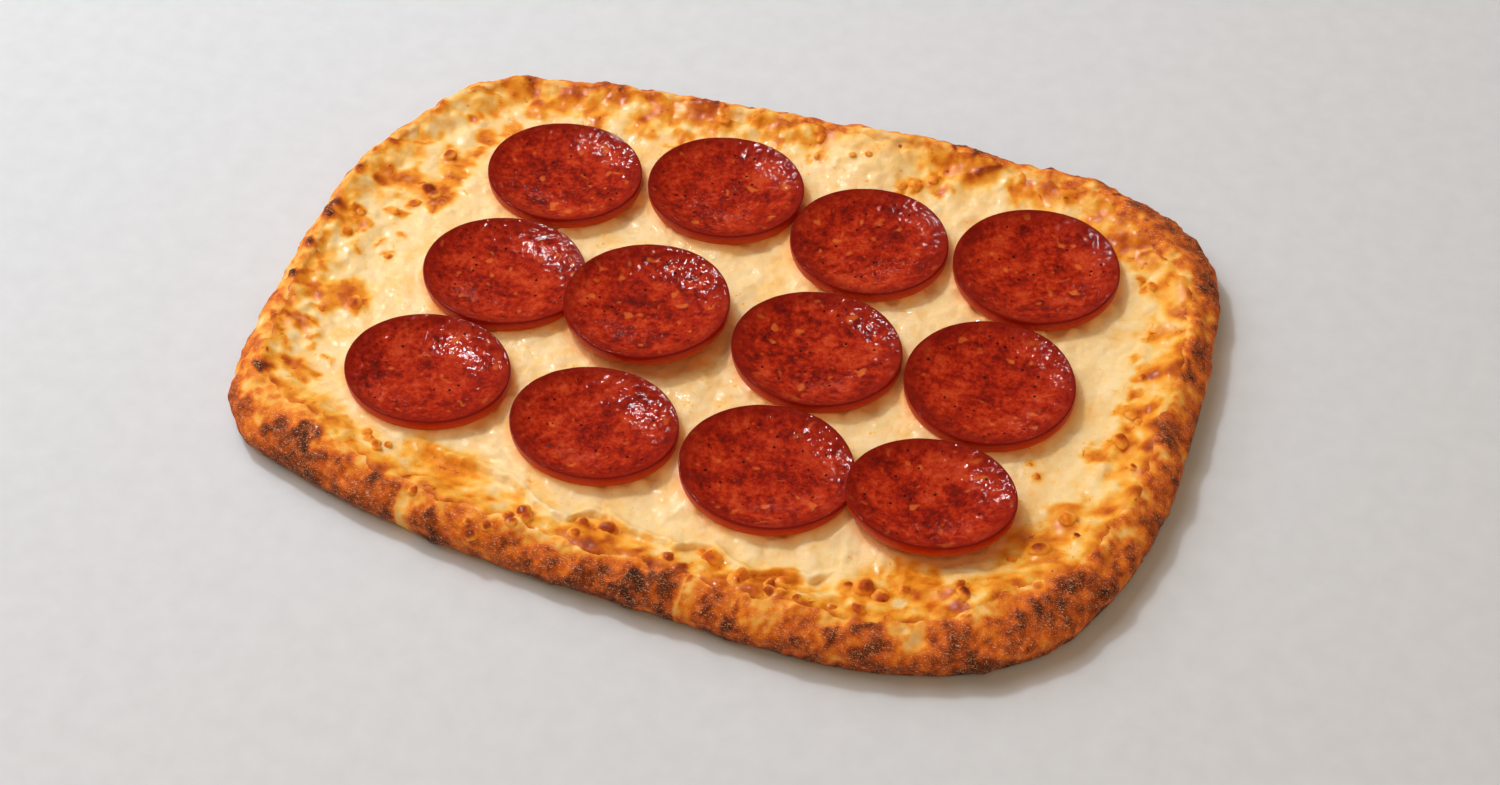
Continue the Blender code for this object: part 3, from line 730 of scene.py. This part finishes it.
margin = ease(inside, 14 * mm, 4 * mm)
soft = 0.60 * lumps(plan, 9 * mm, 8) + 0.50 * lumps(plan, 4.2 * mm, 44)
soft += 0.22 * lumps(plan, 1.9 * mm, 45)
lumpy = 0.80 * lumps(plan, 6 * mm, 48) + 0.40 * lumps(plan, 3 * mm, 46)
calm = 1 - 0.5 * ease(plan[:, 1], 55 * mm, 75 * mm) - 0.4 * ease(swollen, 0.2, 1.2)
grainy = calm * margin * (lumpy + 0.18 * lumps(plan, 1.5 * mm, 47))
on_cheese = ease(inside, -0.5 * mm, 3 * mm)
height = floor / mm + 0.3 + thickness + on_cheese * (soft + grainy + shreds - 0.12)
height += on_cheese * (feet + swollen)
# The sheet has no holes: it never gets thinner than this, and only its edge dips into the bread
least = floor / mm + LEAST_CHEESE * ease(inside, 1 * mm, 3 * mm) - 2 * ease(inside, 2 * mm, 0)
height = np.maximum(height, least)
print("cheese height, mm:", round(height.min(), 1), "to", round(height.max(), 1))

# %% [markdown]
# The slices sank into the hot cheese, which climbs up a little round each one. A ray sent up
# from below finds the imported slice's underside, and the cheese there is pulled up to it, with a
# soft foot outside its edge. Where a slice rests on its neighbour the gap is too large to fill.

# %% Let the cheese climb to the slices
# Each slice: the x and y of its middle, then half its length along x and along y, all in mm
SLICES = {
    "a1": (-59.2, 41.6, 20.8, 18.2), "a2": (-16.7, 48.8, 20.9, 18.5),
    "a3": (24.8, 41.0, 20.7, 19.0), "a4": (68.2, 44.9, 21.5, 20.2),
    "b1": (-61.4, 3.0, 21.4, 18.6), "b2": (-22.4, 1.8, 21.4, 19.8),
    "b3": (22.8, 1.0, 21.7, 19.1), "b4": (66.8, 3.0, 21.4, 20.4),
    "c1": (-67.6, -34.2, 21.2, 17.9), "c2": (-22.0, -38.6, 21.2, 17.8),
    "c3": (22.5, -39.2, 21.7, 19.3), "c4": (62.8, -37.1, 20.8, 16.8),
}
UP = Vector((0, 0, 1))
# How far the cheese's foot reaches past a slice, and how far it stays below it, in mm
FOOT_REACH = 1.1
BELOW_SLICE = 0.55
# A point past the slice's edge looks for its underside at this share of its half-lengths
JUST_INSIDE = 0.93

slice_trees = {}
oil_and_painted_shade = np.zeros(len(plan))
for key, (middle_x, middle_y, half_x, half_y) in SLICES.items():
    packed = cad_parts["pepperoni_" + key].data
    corners_of = [vertex.co for vertex in packed.vertices]
    faces_of = [face.vertices for face in packed.polygons]
    slice_trees[key] = BVHTree.FromPolygons(corners_of, faces_of)
    offset = (plan / mm - (middle_x, middle_y)) / (half_x, half_y)
    part_way = np.hypot(*offset.T)
    outside = (part_way - 1) * (half_x + half_y) / 2
    # The oil stain round each slice is stronger on its right, where its shadow falls: there it is
    # partly a real stain and partly painted warm shade
    lit_side_share = 0.5 - 0.5 * (offset @ (0.75, 0.66)) / np.maximum(part_way, 0.1)
    oil_and_painted_shade = np.maximum(oil_and_painted_shade, hump(np.maximum(outside, 0), 1.1) * (0.95 - 0.3 * lit_side_share))
    for number in np.flatnonzero(outside < 3 * FOOT_REACH):
        inwards = min(1, JUST_INSIDE / max(part_way[number], 0.01))
        x, y = offset[number] * inwards * (half_x, half_y) + (middle_x, middle_y)
        hit = slice_trees[key].ray_cast(Vector((x * mm, y * mm, 0)), UP)[0]
        if hit:
            rise = hit.z / mm - BELOW_SLICE - height[number]
            fill = hump(max(outside[number], 0), FOOT_REACH) * ease(rise, 2.2, 1.2)
            height[number] += rise * fill
top = min(packed_box[1][2] / mm, height.max())
move_points(cheese, np.column_stack([plan, np.minimum(height, top) * mm]))
print("cheese top, mm:", round(height.max(), 1))

# %% How far the cheese is toasted
left = ease(-plan[:, 0], 78 * mm, 100 * mm)
speckle = 0.5 + 0.5 * lumps(plan, 3.4 * mm, 51)
fine = 0.5 + 0.5 * lumps(plan, 1.5 * mm, 52)
patchy = ease(lumps(plan, 9 * mm, 53) + 0.4 * lumps(plan, 3.5 * mm, 54), -0.1, 0.6)
toast = browned + 0.10 * patchy + 0.10 * speckle * fine
toast += margin * (0.24 * lumps(plan, 3.6 * mm, 56) + (0.08 + 0.12 * left) * ease(speckle, 0.5, 0.9))
# In the margin the hollows are browner and the lumps between them paler: partly real browning and
# partly painted warm shade in the hollows
toast -= 0.24 * margin * np.clip(lumpy, -0.5, 0.4)
toast += 0.10 * at_front * (1 - thick) * speckle
toast -= 0.06 * thick * ease(shreds, 0.1, 0.3)
toast -= 0.75 * ease(swollen, 0.3, 1.3) * (toast - 0.08)
toast = hold_back(toast, 0.5, 0.6)
keep_value(cheese, "toast", np.clip(toast, 0, 1))
# Oil runs out of the slices and pools in the margin's hollows; the orange in the hollows is partly
# painted warm shade, and so is the stronger stain on each slice's shadow side
pooled_oil_and_shade = 0.2 * margin * ease(-lumpy - 0.5 * soft, 0.1, 0.6)
keep_value(cheese, "oil_and_shade", np.clip(oil_and_painted_shade + 0.20 * patchy * fine + pooled_oil_and_shade, 0, 1))
print("mean toast of the cheese:", round(float(toast.mean()), 2))

# %% Close the cheese below
# Each step under the sheet: how far inside its edge and how far over the bread's floor, in mm
UNDERSIDE = ((0.0, -0.9), (4.0, -0.9), (9.0, -0.6), (16.0, -0.3))
bpy.ops.object.mode_set(mode="EDIT")
bpy.ops.mesh.select_all(action="SELECT")
bpy.ops.mesh.region_to_loop()
bpy.ops.object.mode_set(mode="OBJECT")
last = len(cheese.data.vertices)
for step, (inset, above) in enumerate(UNDERSIDE):
    bpy.ops.object.mode_set(mode="EDIT")
    bpy.ops.mesh.extrude_region_move()
    bpy.ops.object.mode_set(mode="OBJECT")
    points = points_of(cheese)
    fresh = points[last:]
    at = np.array([finder.find((x, y, 0))[1] for x, y in fresh[:, :2]]) if step == 0 else at
    level = np.interp(inset * mm, past, floor_rows[:, 2]) + above * mm
    level = level + np.interp(inset * mm, past, floor_rows[:, 3]) * rim_uneven[at]
    points[last:, :2] = ring(rim_width + inset * mm)[at]
    points[last:, 2] = level
    move_points(cheese, points)
    last = len(points)
bpy.ops.object.mode_set(mode="EDIT")
bpy.ops.mesh.edge_face_add()
bpy.ops.mesh.select_all(action="SELECT")
bpy.ops.mesh.normals_make_consistent(inside=False)
bpy.ops.object.mode_set(mode="OBJECT")
bpy.ops.object.shade_smooth()
print("cheese triangles:", count_triangles(cheese))

# %% [markdown]
# ## Crisp blisters
#
# A blister is a thin dome of cheese that dried and browned on top. One dome is a ball that is
# cut off below its middle, and each blister gets a pressed copy with its own size and turn, set
# on the cheese by a ray from above. All of them are joined into one piece.

# %% Model one dome
dome = start_shape(
    bpy.ops.mesh.primitive_uv_sphere_add, "dome", segments=18, ring_count=14, radius=1,
)
bpy.ops.object.mode_set(mode="EDIT")
bpy.ops.mesh.select_all(action="SELECT")
bpy.ops.mesh.bisect(plane_co=(0, 0, -0.35), plane_no=(0, 0, 1), clear_inner=True, use_fill=True)
bpy.ops.object.mode_set(mode="OBJECT")
print("dome triangles:", count_triangles(dome))

# %% Set the domes on the cheese
DOME_RISE = 0.60
DOME_WIDER = 1.1
DOME_SUNK = 0.30
FOOT_TOAST = 0.32
TOP_TOAST = 0.92
DOME_SEED = 3
draw = Random(DOME_SEED)
bpy.context.view_layer.update()
cheese_tree = BVHTree.FromObject(cheese, bpy.context.evaluated_depsgraph_get())


def highest_at(x, y):
    """The height of the cheese here, or of the bread beside it, seen from above."""
    start = Vector((x, y, WELL_ABOVE))
    hits = [tree.ray_cast(start, DOWN)[0] for tree in (cheese_tree, crust_tree)]
    return max(hit.z for hit in hits if hit)


model = points_of(dome)
domes = []
for number, (x, y, radius, depth) in enumerate(BLISTERS):
    copy = dome.copy()
    copy.data = dome.data.copy()
    bpy.context.scene.collection.objects.link(copy)
    surface = highest_at(x * mm, y * mm)
    spin = draw.uniform(0, tau)
    long = draw.uniform(0.92, 1.18)
    shape = model * (long, 1 / long, DOME_RISE)
    shape *= (1 + 0.24 * lumps(model * mm, 0.9 * mm, number))[:, None]
    turned = np.array([[cos(spin), sin(spin), 0], [-sin(spin), cos(spin), 0], [0, 0, 1]])
    sunk = DOME_SUNK * radius * mm
    placed = shape @ turned * radius * mm * DOME_WIDER + (x * mm, y * mm, surface - sunk)
    move_points(copy, placed)
    ring_noise = 0.10 * lumps(placed, 0.9 * mm, 61)
    up_share = ease(model @ (-0.2, 0.35, 0.9), 0.35, 1.0)
    browner = (TOP_TOAST * depth - FOOT_TOAST) * up_share
    keep_value(copy, "toast", FOOT_TOAST + browner + ring_noise)
    keep_value(copy, "oil_and_shade", np.full(len(model), 0.4))
    domes.append(copy)
bpy.ops.object.select_all(action="DESELECT")
for copy in domes:
    copy.select_set(True)
bpy.context.view_layer.objects.active = domes[0]
bpy.ops.object.join()
blisters = bpy.context.object
blisters.name = blisters.data.name = "cheese_blisters"
bpy.ops.object.shade_smooth()
bpy.data.objects.remove(dome)
print("blister triangles:", count_triangles(blisters))

# %% [markdown]
# ## The pepperoni slices
#
# A slice is a thin disc of cured sausage. In the oven its casing shrinks, so the edge curls up
# and the slice becomes a dish with oil in it. Half of its section is drawn by extruding one
# point along it, and spun round into a disc. Each slice is a copy that is pressed into its own
# oval, dished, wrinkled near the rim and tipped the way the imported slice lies.

# %% Turn one slice from its section
RADIUS = 20 * mm
THICK = 1.7 * mm
TOP_STEPS = 44
TURNS = 190
# The rim's rounded edge, its side and the underside: share of the radius, share of the thickness
RIM_SECTION = (
    (0.974, 1.0), (0.984, 0.99), (0.993, 0.95), (0.999, 0.86), (1.0, 0.74), (1.0, 0.55),
    (0.998, 0.36), (0.994, 0.18), (0.986, 0.05), (0.95, 0.0), (0.8, 0.0), (0.5, 0.0), (0.0, 0.0),
)
profile = [(0.968 * (i / TOP_STEPS) ** 0.8, 1.0) for i in range(TOP_STEPS + 1)]
profile += list(RIM_SECTION)

master = start_shape(bpy.ops.mesh.primitive_plane_add, "slice", size=mm, location=(0, 0, THICK))
bpy.ops.object.transform_apply(location=True)
bpy.ops.object.mode_set(mode="EDIT")
bpy.ops.mesh.select_all(action="SELECT")
bpy.ops.mesh.merge(type="CENTER")
for (share_before, level_before), (share_now, level_now) in zip(profile, profile[1:]):
    step = ((share_now - share_before) * RADIUS, 0, (level_now - level_before) * THICK)
    bpy.ops.mesh.extrude_region_move(TRANSFORM_OT_translate={"value": step})
bpy.ops.mesh.select_all(action="SELECT")
bpy.ops.mesh.spin(steps=TURNS, angle=tau, center=(0, 0, 0), axis=(0, 0, 1))
bpy.ops.mesh.select_all(action="SELECT")
bpy.ops.mesh.remove_doubles(threshold=0.005 * mm)
bpy.ops.mesh.normals_make_consistent(inside=False)
bpy.ops.object.mode_set(mode="OBJECT")
bpy.ops.object.shade_smooth()
print("slice triangles:", count_triangles(master))

# %% Dish, wrinkle and tip each slice
LIES_UNDER = {"b1": "b2", "c3": "c4"}
# Heights in mm, and where the dish starts as a share of the radius
DISH_HEIGHT = 2.0
DISH_STARTS = 0.22
DISH_POWER = 2.3
CENTRE_SUNK = 1.0
WRINKLE = 0.20
# Shares: of the curl that the underside takes, and of unevenness at the edge and in the curl
UNDERSIDE_CURL = 0.08
EDGE_WAVE = 0.012
CURL_UNEVEN = 0.25
# How much a neighbour on top flattens the curl, and over which angle
FLATTENED = 0.8
FLATTENED_ANGLE = 0.6
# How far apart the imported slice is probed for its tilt, in mm
PROBE = 5

model = points_of(master)
share = np.hypot(model[:, 0], model[:, 1]) / RADIUS
angle = np.arctan2(model[:, 1], model[:, 0])
level = model[:, 2] / THICK
on_side = share > 0.97
across = np.where(on_side, 1 + np.clip(1 - level, 0, 1), np.where(level > 0.5, share, 3 - share))
round_noise = np.column_stack([np.cos(angle), np.sin(angle)])
slices = {}
for key, (middle_x, middle_y, half_x, half_y) in SLICES.items():
    piece = master.copy()
    piece.data = master.data.copy()
    piece.name = piece.data.name = "pepperoni_slice_" + key
    bpy.context.scene.collection.objects.link(piece)
    wave = 1 + EDGE_WAVE * lumps(round_noise, 1, middle_y * mm)
    curl = 1 + CURL_UNEVEN * lumps(round_noise, 1, middle_x * mm)
    if key in LIES_UNDER:
        over = SLICES[LIES_UNDER[key]]
        away = (angle - atan2(over[1] - middle_y, over[0] - middle_x) + pi) % tau - pi
        curl *= 1 - FLATTENED * hump(away, FLATTENED_ANGLE)
    x = model[:, 0] / RADIUS * half_x * wave
    y = model[:, 1] / RADIUS * half_y * wave
    dish = np.clip((share - DISH_STARTS) / (1 - DISH_STARTS), 0, None) ** DISH_POWER
    rise = DISH_HEIGHT * curl * dish * (UNDERSIDE_CURL + (1 - UNDERSIDE_CURL) * level)
    z = level * (THICK / mm - CENTRE_SUNK * (1 - dish)) + rise
    spread = np.column_stack([x, y]) * mm
    seed = 70 + middle_x
    swirl = 1 - np.abs(lumps(spread, 2.1 * mm, seed)) * 3
    dents = lumps(spread, 4.5 * mm, seed + 1) + 0.5 * lumps(spread, 1.6 * mm, seed + 2)
    wrinkled = ease(share, 0.45, 0.85) * ease(share, 0.985, 0.94)
    z += level * (WRINKLE * wrinkled * np.clip(swirl, -0.5, 1) + (0.10 + 0.05 * wrinkled) * dents)
    heights = []
    for probe_x, probe_y in ((0, 0), (PROBE, 0), (0, PROBE)):
        start = Vector(((middle_x + probe_x) * mm, (middle_y + probe_y) * mm, 0))
        heights.append(slice_trees[key].ray_cast(start, UP)[0].z / mm)
    lean_x = (heights[1] - heights[0]) / PROBE
    lean_y = (heights[2] - heights[0]) / PROBE
    z += heights[0] + lean_x * x + lean_y * y
    z = np.minimum(z, packed_box[1][2] / mm)
    move_points(piece, np.column_stack([x + middle_x, y + middle_y, z]) * mm)
    keep_value(piece, "across", across)
    slices[key] = piece
bpy.data.objects.remove(master)
print("slices:", len(slices))

# %% [markdown]
# ## Baked bread crust
#
# Baked dough is a dry, matte skin: starch and gluten that the oven browned from straw through
# orange to black. Its index of refraction is near 1.5, and its roughness is high. The colour
# follows the stored toast, with a mottle of about 2 mm, and fine pale fibres and flour specks lie
# over it. The finest of them would be thinner than a pixel, so they are drawn about 0.4 mm wide.
# Below 1 mm the grain is too fine for the mesh, so a bump carries it.

# %% Baked crust
TOASTED = (
    (0.0, "#F9DBA0"), (0.15, "#F9CE84"), (0.29, "#F5B54C"), (0.43, "#E88318"), (0.57, "#CA5C12"),
    (0.71, "#8C3B10"), (0.85, "#4C210F"), (1.0, "#1C0E09"),
)
baked_crust, tree, shader, place = new_material("baked_dough_crust")
toast_in = add(tree, "ShaderNodeAttribute", {"attribute_name": "toast"})
mottle = add(tree, "ShaderNodeTexNoise",
             {"Scale": 1 / (2.2 * mm), "Detail": 6, "Roughness": 0.65}, {"Vector": place})
mottled = add(tree, "ShaderNodeMath", {"operation": "MULTIPLY_ADD", 1: 0.38, 2: -0.19},
              {0: mottle.outputs["Fac"]})
depth = add(tree, "ShaderNodeMath", {"operation": "ADD"},
            {0: toast_in.outputs["Fac"], 1: mottled.outputs[0]})
skin_colour = add(tree, "ShaderNodeValToRGB", {}, {"Fac": depth.outputs[0]}, TOASTED)
fibre_place = add(tree, "ShaderNodeMapping",
                  {"Scale": (1, 2.6, 1.6), "Rotation": (0, 0, 0.6)}, {"Vector": place})
fibres = add(tree, "ShaderNodeTexNoise", {"Scale": 1 / (0.9 * mm), "Detail": 3, "Distortion": 2.0},
             {"Vector": fibre_place.outputs[0]})
fibre_mask = add(tree, "ShaderNodeValToRGB", {}, {"Fac": fibres.outputs["Fac"]},
                 ((0.57, 0.0), (0.65, 0.75)))
dusted = add(tree, "ShaderNodeMix", {"data_type": "RGBA", 7: colour("#EAB88A")},
             {0: fibre_mask.outputs["Color"], 6: skin_colour.outputs["Color"]})
tree.links.new(dusted.outputs[2], shader.inputs["Base Color"])
skin_bump = add(tree, "ShaderNodeTexNoise",
                {"Scale": 1 / (0.8 * mm), "Detail": 5, "Roughness": 0.7}, {"Vector": place})
bump = add(tree, "ShaderNodeBump", {"Strength": 0.5, "Distance": 0.35 * mm},
           {"Height": skin_bump.outputs["Fac"]})
tree.links.new(bump.outputs[0], shader.inputs["Normal"])
shader.inputs["Roughness"].default_value = 0.75
shader.inputs["Specular IOR Level"].default_value = 0.25
shader.inputs["IOR"].default_value = 1.5
shader.inputs["Subsurface Weight"].default_value = 0.05
shader.inputs["Subsurface Radius"].default_value = (1.0, 0.45, 0.2)
shader.inputs["Subsurface Scale"].default_value = 1.0 * mm
print("made", baked_crust.name)

# %% [markdown]
# ## Melted cheese
#
# Melted cheese is milk fat and protein: pale cream, wet with its own oil, and light goes a little way
# into it. So it has some subsurface scattering and a smooth coat of oil over a duller body, with lumps
# of under 2 mm that break up the shine. Where it is toasted it turns golden, then brown, and dries. Oil
# from the slices stains it orange near them, and that orange is partly painted warm shade, on the
# slices' shadow side and in the hollows of the margin.

# %% Melted cheese
CHEESE_TOASTED = (
    (0.0, "#F9E2B0"), (0.15, "#F9D58D"), (0.29, "#F6BA4C"), (0.43, "#EA9422"), (0.57, "#C25F15"),
    (0.71, "#8A380F"), (0.85, "#4C1E0E"), (1.0, "#24100A"),
)
melted_cheese, tree, shader, place = new_material("melted_toasted_cheese")
toast_in = add(tree, "ShaderNodeAttribute", {"attribute_name": "toast"})
oil_and_shade_in = add(tree, "ShaderNodeAttribute", {"attribute_name": "oil_and_shade"})
mottle = add(tree, "ShaderNodeTexNoise",
             {"Scale": 1 / (2.0 * mm), "Detail": 6, "Roughness": 0.68}, {"Vector": place})
mottled = add(tree, "ShaderNodeMath", {"operation": "MULTIPLY_ADD", 1: 0.30, 2: -0.15},
              {0: mottle.outputs["Fac"]})
specks = add(tree, "ShaderNodeTexNoise",
             {"Scale": 1 / (2.2 * mm), "Detail": 3, "Roughness": 0.6, "Distortion": 0.8},
             {"Vector": place})
speck_mask = add(tree, "ShaderNodeMapRange", {1: 0.64, 2: 0.74, 3: 0.0, 4: 0.26},
                 {0: specks.outputs["Fac"]})
uneven = add(tree, "ShaderNodeMath", {"operation": "ADD"},
             {0: mottled.outputs[0], 1: speck_mask.outputs[0]})
depth = add(tree, "ShaderNodeMath", {"operation": "ADD"},
            {0: toast_in.outputs["Fac"], 1: uneven.outputs[0]})
body_colour = add(tree, "ShaderNodeValToRGB", {}, {"Fac": depth.outputs[0]}, CHEESE_TOASTED)
# The oil attribute mixes a real orange oil stain with painted warm shade beside the slices and in the
# margin's hollows
oil_and_shade_share = add(tree, "ShaderNodeMath", {"operation": "MULTIPLY", 1: 0.6}, {0: oil_and_shade_in.outputs["Fac"]})
oily_and_shaded = add(tree, "ShaderNodeMix",
           {"data_type": "RGBA", "blend_type": "MULTIPLY", 7: colour("#F7A032")},
           {0: oil_and_shade_share.outputs[0], 6: body_colour.outputs["Color"]})
tree.links.new(oily_and_shaded.outputs[2], shader.inputs["Base Color"])
dry = add(tree, "ShaderNodeMapRange", {1: 0.3, 2: 0.8, 3: 0.36, 4: 0.62}, {0: depth.outputs[0]})
tree.links.new(dry.outputs[0], shader.inputs["Roughness"])
skin_bump = add(tree, "ShaderNodeTexNoise",
                {"Scale": 1 / (1.6 * mm), "Detail": 4, "Roughness": 0.55}, {"Vector": place})
bump = add(tree, "ShaderNodeBump", {"Strength": 0.6, "Distance": 0.45 * mm},
           {"Height": skin_bump.outputs["Fac"]})
tree.links.new(bump.outputs[0], shader.inputs["Normal"])
tree.links.new(bump.outputs[0], shader.inputs["Coat Normal"])
shader.inputs["IOR"].default_value = 1.45
shader.inputs["Subsurface Weight"].default_value = 0.25
shader.inputs["Subsurface Radius"].default_value = (1.0, 0.6, 0.25)
shader.inputs["Subsurface Scale"].default_value = 1.0 * mm
shader.inputs["Specular IOR Level"].default_value = 0.15
shader.inputs["Coat Weight"].default_value = 0.6
shader.inputs["Coat Roughness"].default_value = 0.05
shader.inputs["Coat IOR"].default_value = 1.47
print("made", melted_cheese.name)

# %% [markdown]
# ## Cured sausage
#
# Pepperoni is ground meat and fat, cured and coloured by paprika. The cut face is a mottle of
# deep red and pinker grains of about 2 mm, with orange flecks of fat and black ones of pepper.
# Towards the rim it dries, darkens and lets light through, and its side glows orange-red. The darker
# red band round the rim is partly that real colour and partly painted shade of the dish's inner wall.
# All of it is wet with its own oil, which is the sharp coat over the meat. Bumps of about 1 mm and
# longer creases on the raised wall break the light in it into sparks.

# %% Cured sausage
cured_sausage, tree, shader, place = new_material("cured_ground_sausage")
across_in = add(tree, "ShaderNodeAttribute", {"attribute_name": "across"})
swirls = add(tree, "ShaderNodeTexNoise", {"Scale": 1 / (7 * mm), "Detail": 2}, {"Vector": place})
grains = add(tree, "ShaderNodeTexNoise",
             {"Scale": 1 / (1.8 * mm), "Detail": 8, "Roughness": 0.72}, {"Vector": place})
uneven = add(tree, "ShaderNodeMix", {0: 0.38}, {2: grains.outputs["Fac"], 3: swirls.outputs["Fac"]})
meat = add(tree, "ShaderNodeValToRGB", {}, {"Fac": uneven.outputs[0]},
           ((0.37, "#5E0902"), (0.46, "#8C1605"), (0.52, "#AA2606"), (0.62, "#C04420")))
fat = add(tree, "ShaderNodeTexNoise",
          {"Scale": 1 / (3.0 * mm), "Detail": 0.6, "Distortion": 0.2}, {"Vector": place})
fat_mask = add(tree, "ShaderNodeMapRange", {1: 0.68, 2: 0.76, 4: 0.75}, {0: fat.outputs["Fac"]})
fatty = add(tree, "ShaderNodeMix", {"data_type": "RGBA", 7: colour("#D0682A")},
            {0: fat_mask.outputs[0], 6: meat.outputs["Color"]})
pepper_cells = add(tree, "ShaderNodeTexVoronoi",
                   {"Scale": 1 / (2.5 * mm), "Randomness": 1.0}, {"Vector": place})
pepper_pick = add(tree, "ShaderNodeSeparateColor", {}, {0: pepper_cells.outputs["Color"]})
pepper_few = add(tree, "ShaderNodeMath", {"operation": "GREATER_THAN", 1: 0.45},
                 {0: pepper_pick.outputs[1]})
pepper_round = add(tree, "ShaderNodeMapRange", {1: 0.19, 2: 0.11},
                   {0: pepper_cells.outputs["Distance"]})
pepper_mask = add(tree, "ShaderNodeMath", {"operation": "MULTIPLY"},
                  {0: pepper_few.outputs[0], 1: pepper_round.outputs[0]})
peppered = add(tree, "ShaderNodeMix", {"data_type": "RGBA", 7: colour("#22090A")},
               {0: pepper_mask.outputs[0], 6: fatty.outputs[2]})
# A darker red band all round the rim: partly the meat's real drier, darker edge and partly painted
# shade of the dish's inner wall
rim_band_and_shade_share = add(tree, "ShaderNodeMapRange", {1: 0.76, 2: 0.98, 4: 0.85}, {0: across_in.outputs["Fac"]})
rim_darkened_and_shaded = add(tree, "ShaderNodeMix", {"data_type": "RGBA", 7: colour("#7E0F03")},
             {0: rim_band_and_shade_share.outputs[0], 6: peppered.outputs[2]})
side_share = add(tree, "ShaderNodeMapRange", {1: 0.985, 2: 1.02}, {0: across_in.outputs["Fac"]})
side_down = add(tree, "ShaderNodeMapRange", {1: 1.0, 2: 2.0}, {0: across_in.outputs["Fac"]})
side_colour = add(tree, "ShaderNodeValToRGB", {}, {"Fac": side_down.outputs[0]},
                  ((0.0, "#6A0B03"), (0.14, "#9A1604"), (0.45, "#B92806"), (1.0, "#D0560F")))
finished = add(tree, "ShaderNodeMix", {"data_type": "RGBA"},
               {0: side_share.outputs[0], 6: rim_darkened_and_shaded.outputs[2], 7: side_colour.outputs["Color"]})
tree.links.new(finished.outputs[2], shader.inputs["Base Color"])
wet_bump = add(tree, "ShaderNodeTexNoise",
               {"Scale": 1 / (1.3 * mm), "Detail": 2, "Roughness": 0.5}, {"Vector": place})
bump = add(tree, "ShaderNodeBump", {"Strength": 0.7, "Distance": 0.25 * mm},
           {"Height": wet_bump.outputs["Fac"]})
creases = add(tree, "ShaderNodeTexNoise",
              {"noise_type": "RIDGED_MULTIFRACTAL", "Scale": 1 / (4.5 * mm), "Detail": 1,
               "Distortion": 0.8}, {"Vector": place})
on_wall = add(tree, "ShaderNodeMapRange", {1: 0.45, 2: 0.8, 3: 0.15},
              {0: across_in.outputs["Fac"]})
creased = add(tree, "ShaderNodeMath", {"operation": "MULTIPLY"},
              {0: creases.outputs["Fac"], 1: on_wall.outputs[0]})
wrinkled = add(tree, "ShaderNodeBump", {"Strength": 0.6, "Distance": 0.35 * mm},
               {"Height": creased.outputs[0], "Normal": bump.outputs[0]})
tree.links.new(wrinkled.outputs[0], shader.inputs["Normal"])
tree.links.new(wrinkled.outputs[0], shader.inputs["Coat Normal"])
shader.inputs["Roughness"].default_value = 0.5
shader.inputs["Specular IOR Level"].default_value = 0.04
shader.inputs["IOR"].default_value = 1.45
shader.inputs["Subsurface Weight"].default_value = 0.10
shader.inputs["Subsurface Radius"].default_value = (1.0, 0.2, 0.1)
shader.inputs["Subsurface Scale"].default_value = 1.2 * mm
shader.inputs["Coat Weight"].default_value = 0.45
shader.inputs["Coat Roughness"].default_value = 0.03
shader.inputs["Coat IOR"].default_value = 1.47
print("made", cured_sausage.name)

# %% Give each piece its finish and its place in the model
def dress(piece, material, node):
    piece.data.materials.clear()
    piece.data.materials.append(material)
    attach(piece, "root")
    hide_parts(node)


dress(crust, baked_crust, "flatbread")
dress(cheese, melted_cheese, "cheese")
dress(blisters, melted_cheese, "cheese")
for key, piece in slices.items():
    dress(piece, cured_sausage, "pepperoni_" + key)

# %% [markdown]
# ## Floor and light
#
# The floor is plain and pale, and a touch cool, because warm light would turn a neutral one
# yellow. The key light stands to the left and a little behind, high enough to reach into the
# dishes, and is wide, which softens the edge of its shadows. A small one beside it puts crisp
# sparks in the oil, a weak one from behind draws the rims, and a wide, warm one from the front
# keeps the shadows open. The two wide ones are kept out of reflections, which would veil the
# dark meat with white.

# %% A pale floor
floor_sheet = start_shape(bpy.ops.mesh.primitive_plane_add, "floor", size=4)
floor_material, tree, shader, place = new_material("matt_pale_board")
board_grain = add(tree, "ShaderNodeTexNoise", {"Scale": 1 / (6 * mm), "Detail": 3}, {"Vector": place})
board_colour = add(tree, "ShaderNodeValToRGB", {}, {"Fac": board_grain.outputs["Fac"]},
                   ((0.3, "#CFD8E2"), (0.7, "#D4DDE7")))
tree.links.new(board_colour.outputs["Color"], shader.inputs["Base Color"])
shader.inputs["Roughness"].default_value = 0.85
floor_sheet.data.materials.append(floor_material)
print("floor, m:", [round(side, 1) for side in floor_sheet.dimensions[:2]])

# %% Lights
# Each light: where it stands in metres, its size in metres and its power in watts
LIGHTS = {
    "key": ((-0.78, 0.30, 0.92), 1.30, 11.9),
    "spark": ((-0.48, 0.26, 0.80), 0.10, 2.8),
    "rim": ((-0.30, 0.95, 0.60), 0.06, 0.12),
    "fill": ((0.55, -0.9, 1.1), 1.20, 4.6),
}
for name, (stand, size, power) in LIGHTS.items():
    aim = Vector(stand).to_track_quat("Z", "Y").to_euler()
    bpy.ops.object.light_add(type="AREA", location=stand, rotation=aim)
    lamp = bpy.context.object
    lamp.name = "light_" + name
    lamp.data.size = size
    lamp.data.energy = power
    lamp.visible_glossy = name in ("spark", "rim")
    lamp.data.color = colour("#FFD3A3")[:3] if name == "fill" else (1, 1, 1)
world = bpy.context.scene.world or bpy.data.worlds.new("studio")
bpy.context.scene.world = world
world.use_nodes = True
world.node_tree.nodes["Background"].inputs["Color"].default_value = colour("#FFDAB2")
world.node_tree.nodes["Background"].inputs["Strength"].default_value = 0.27
bpy.context.scene.view_settings.view_transform = "Standard"
print("lights:", len(LIGHTS))
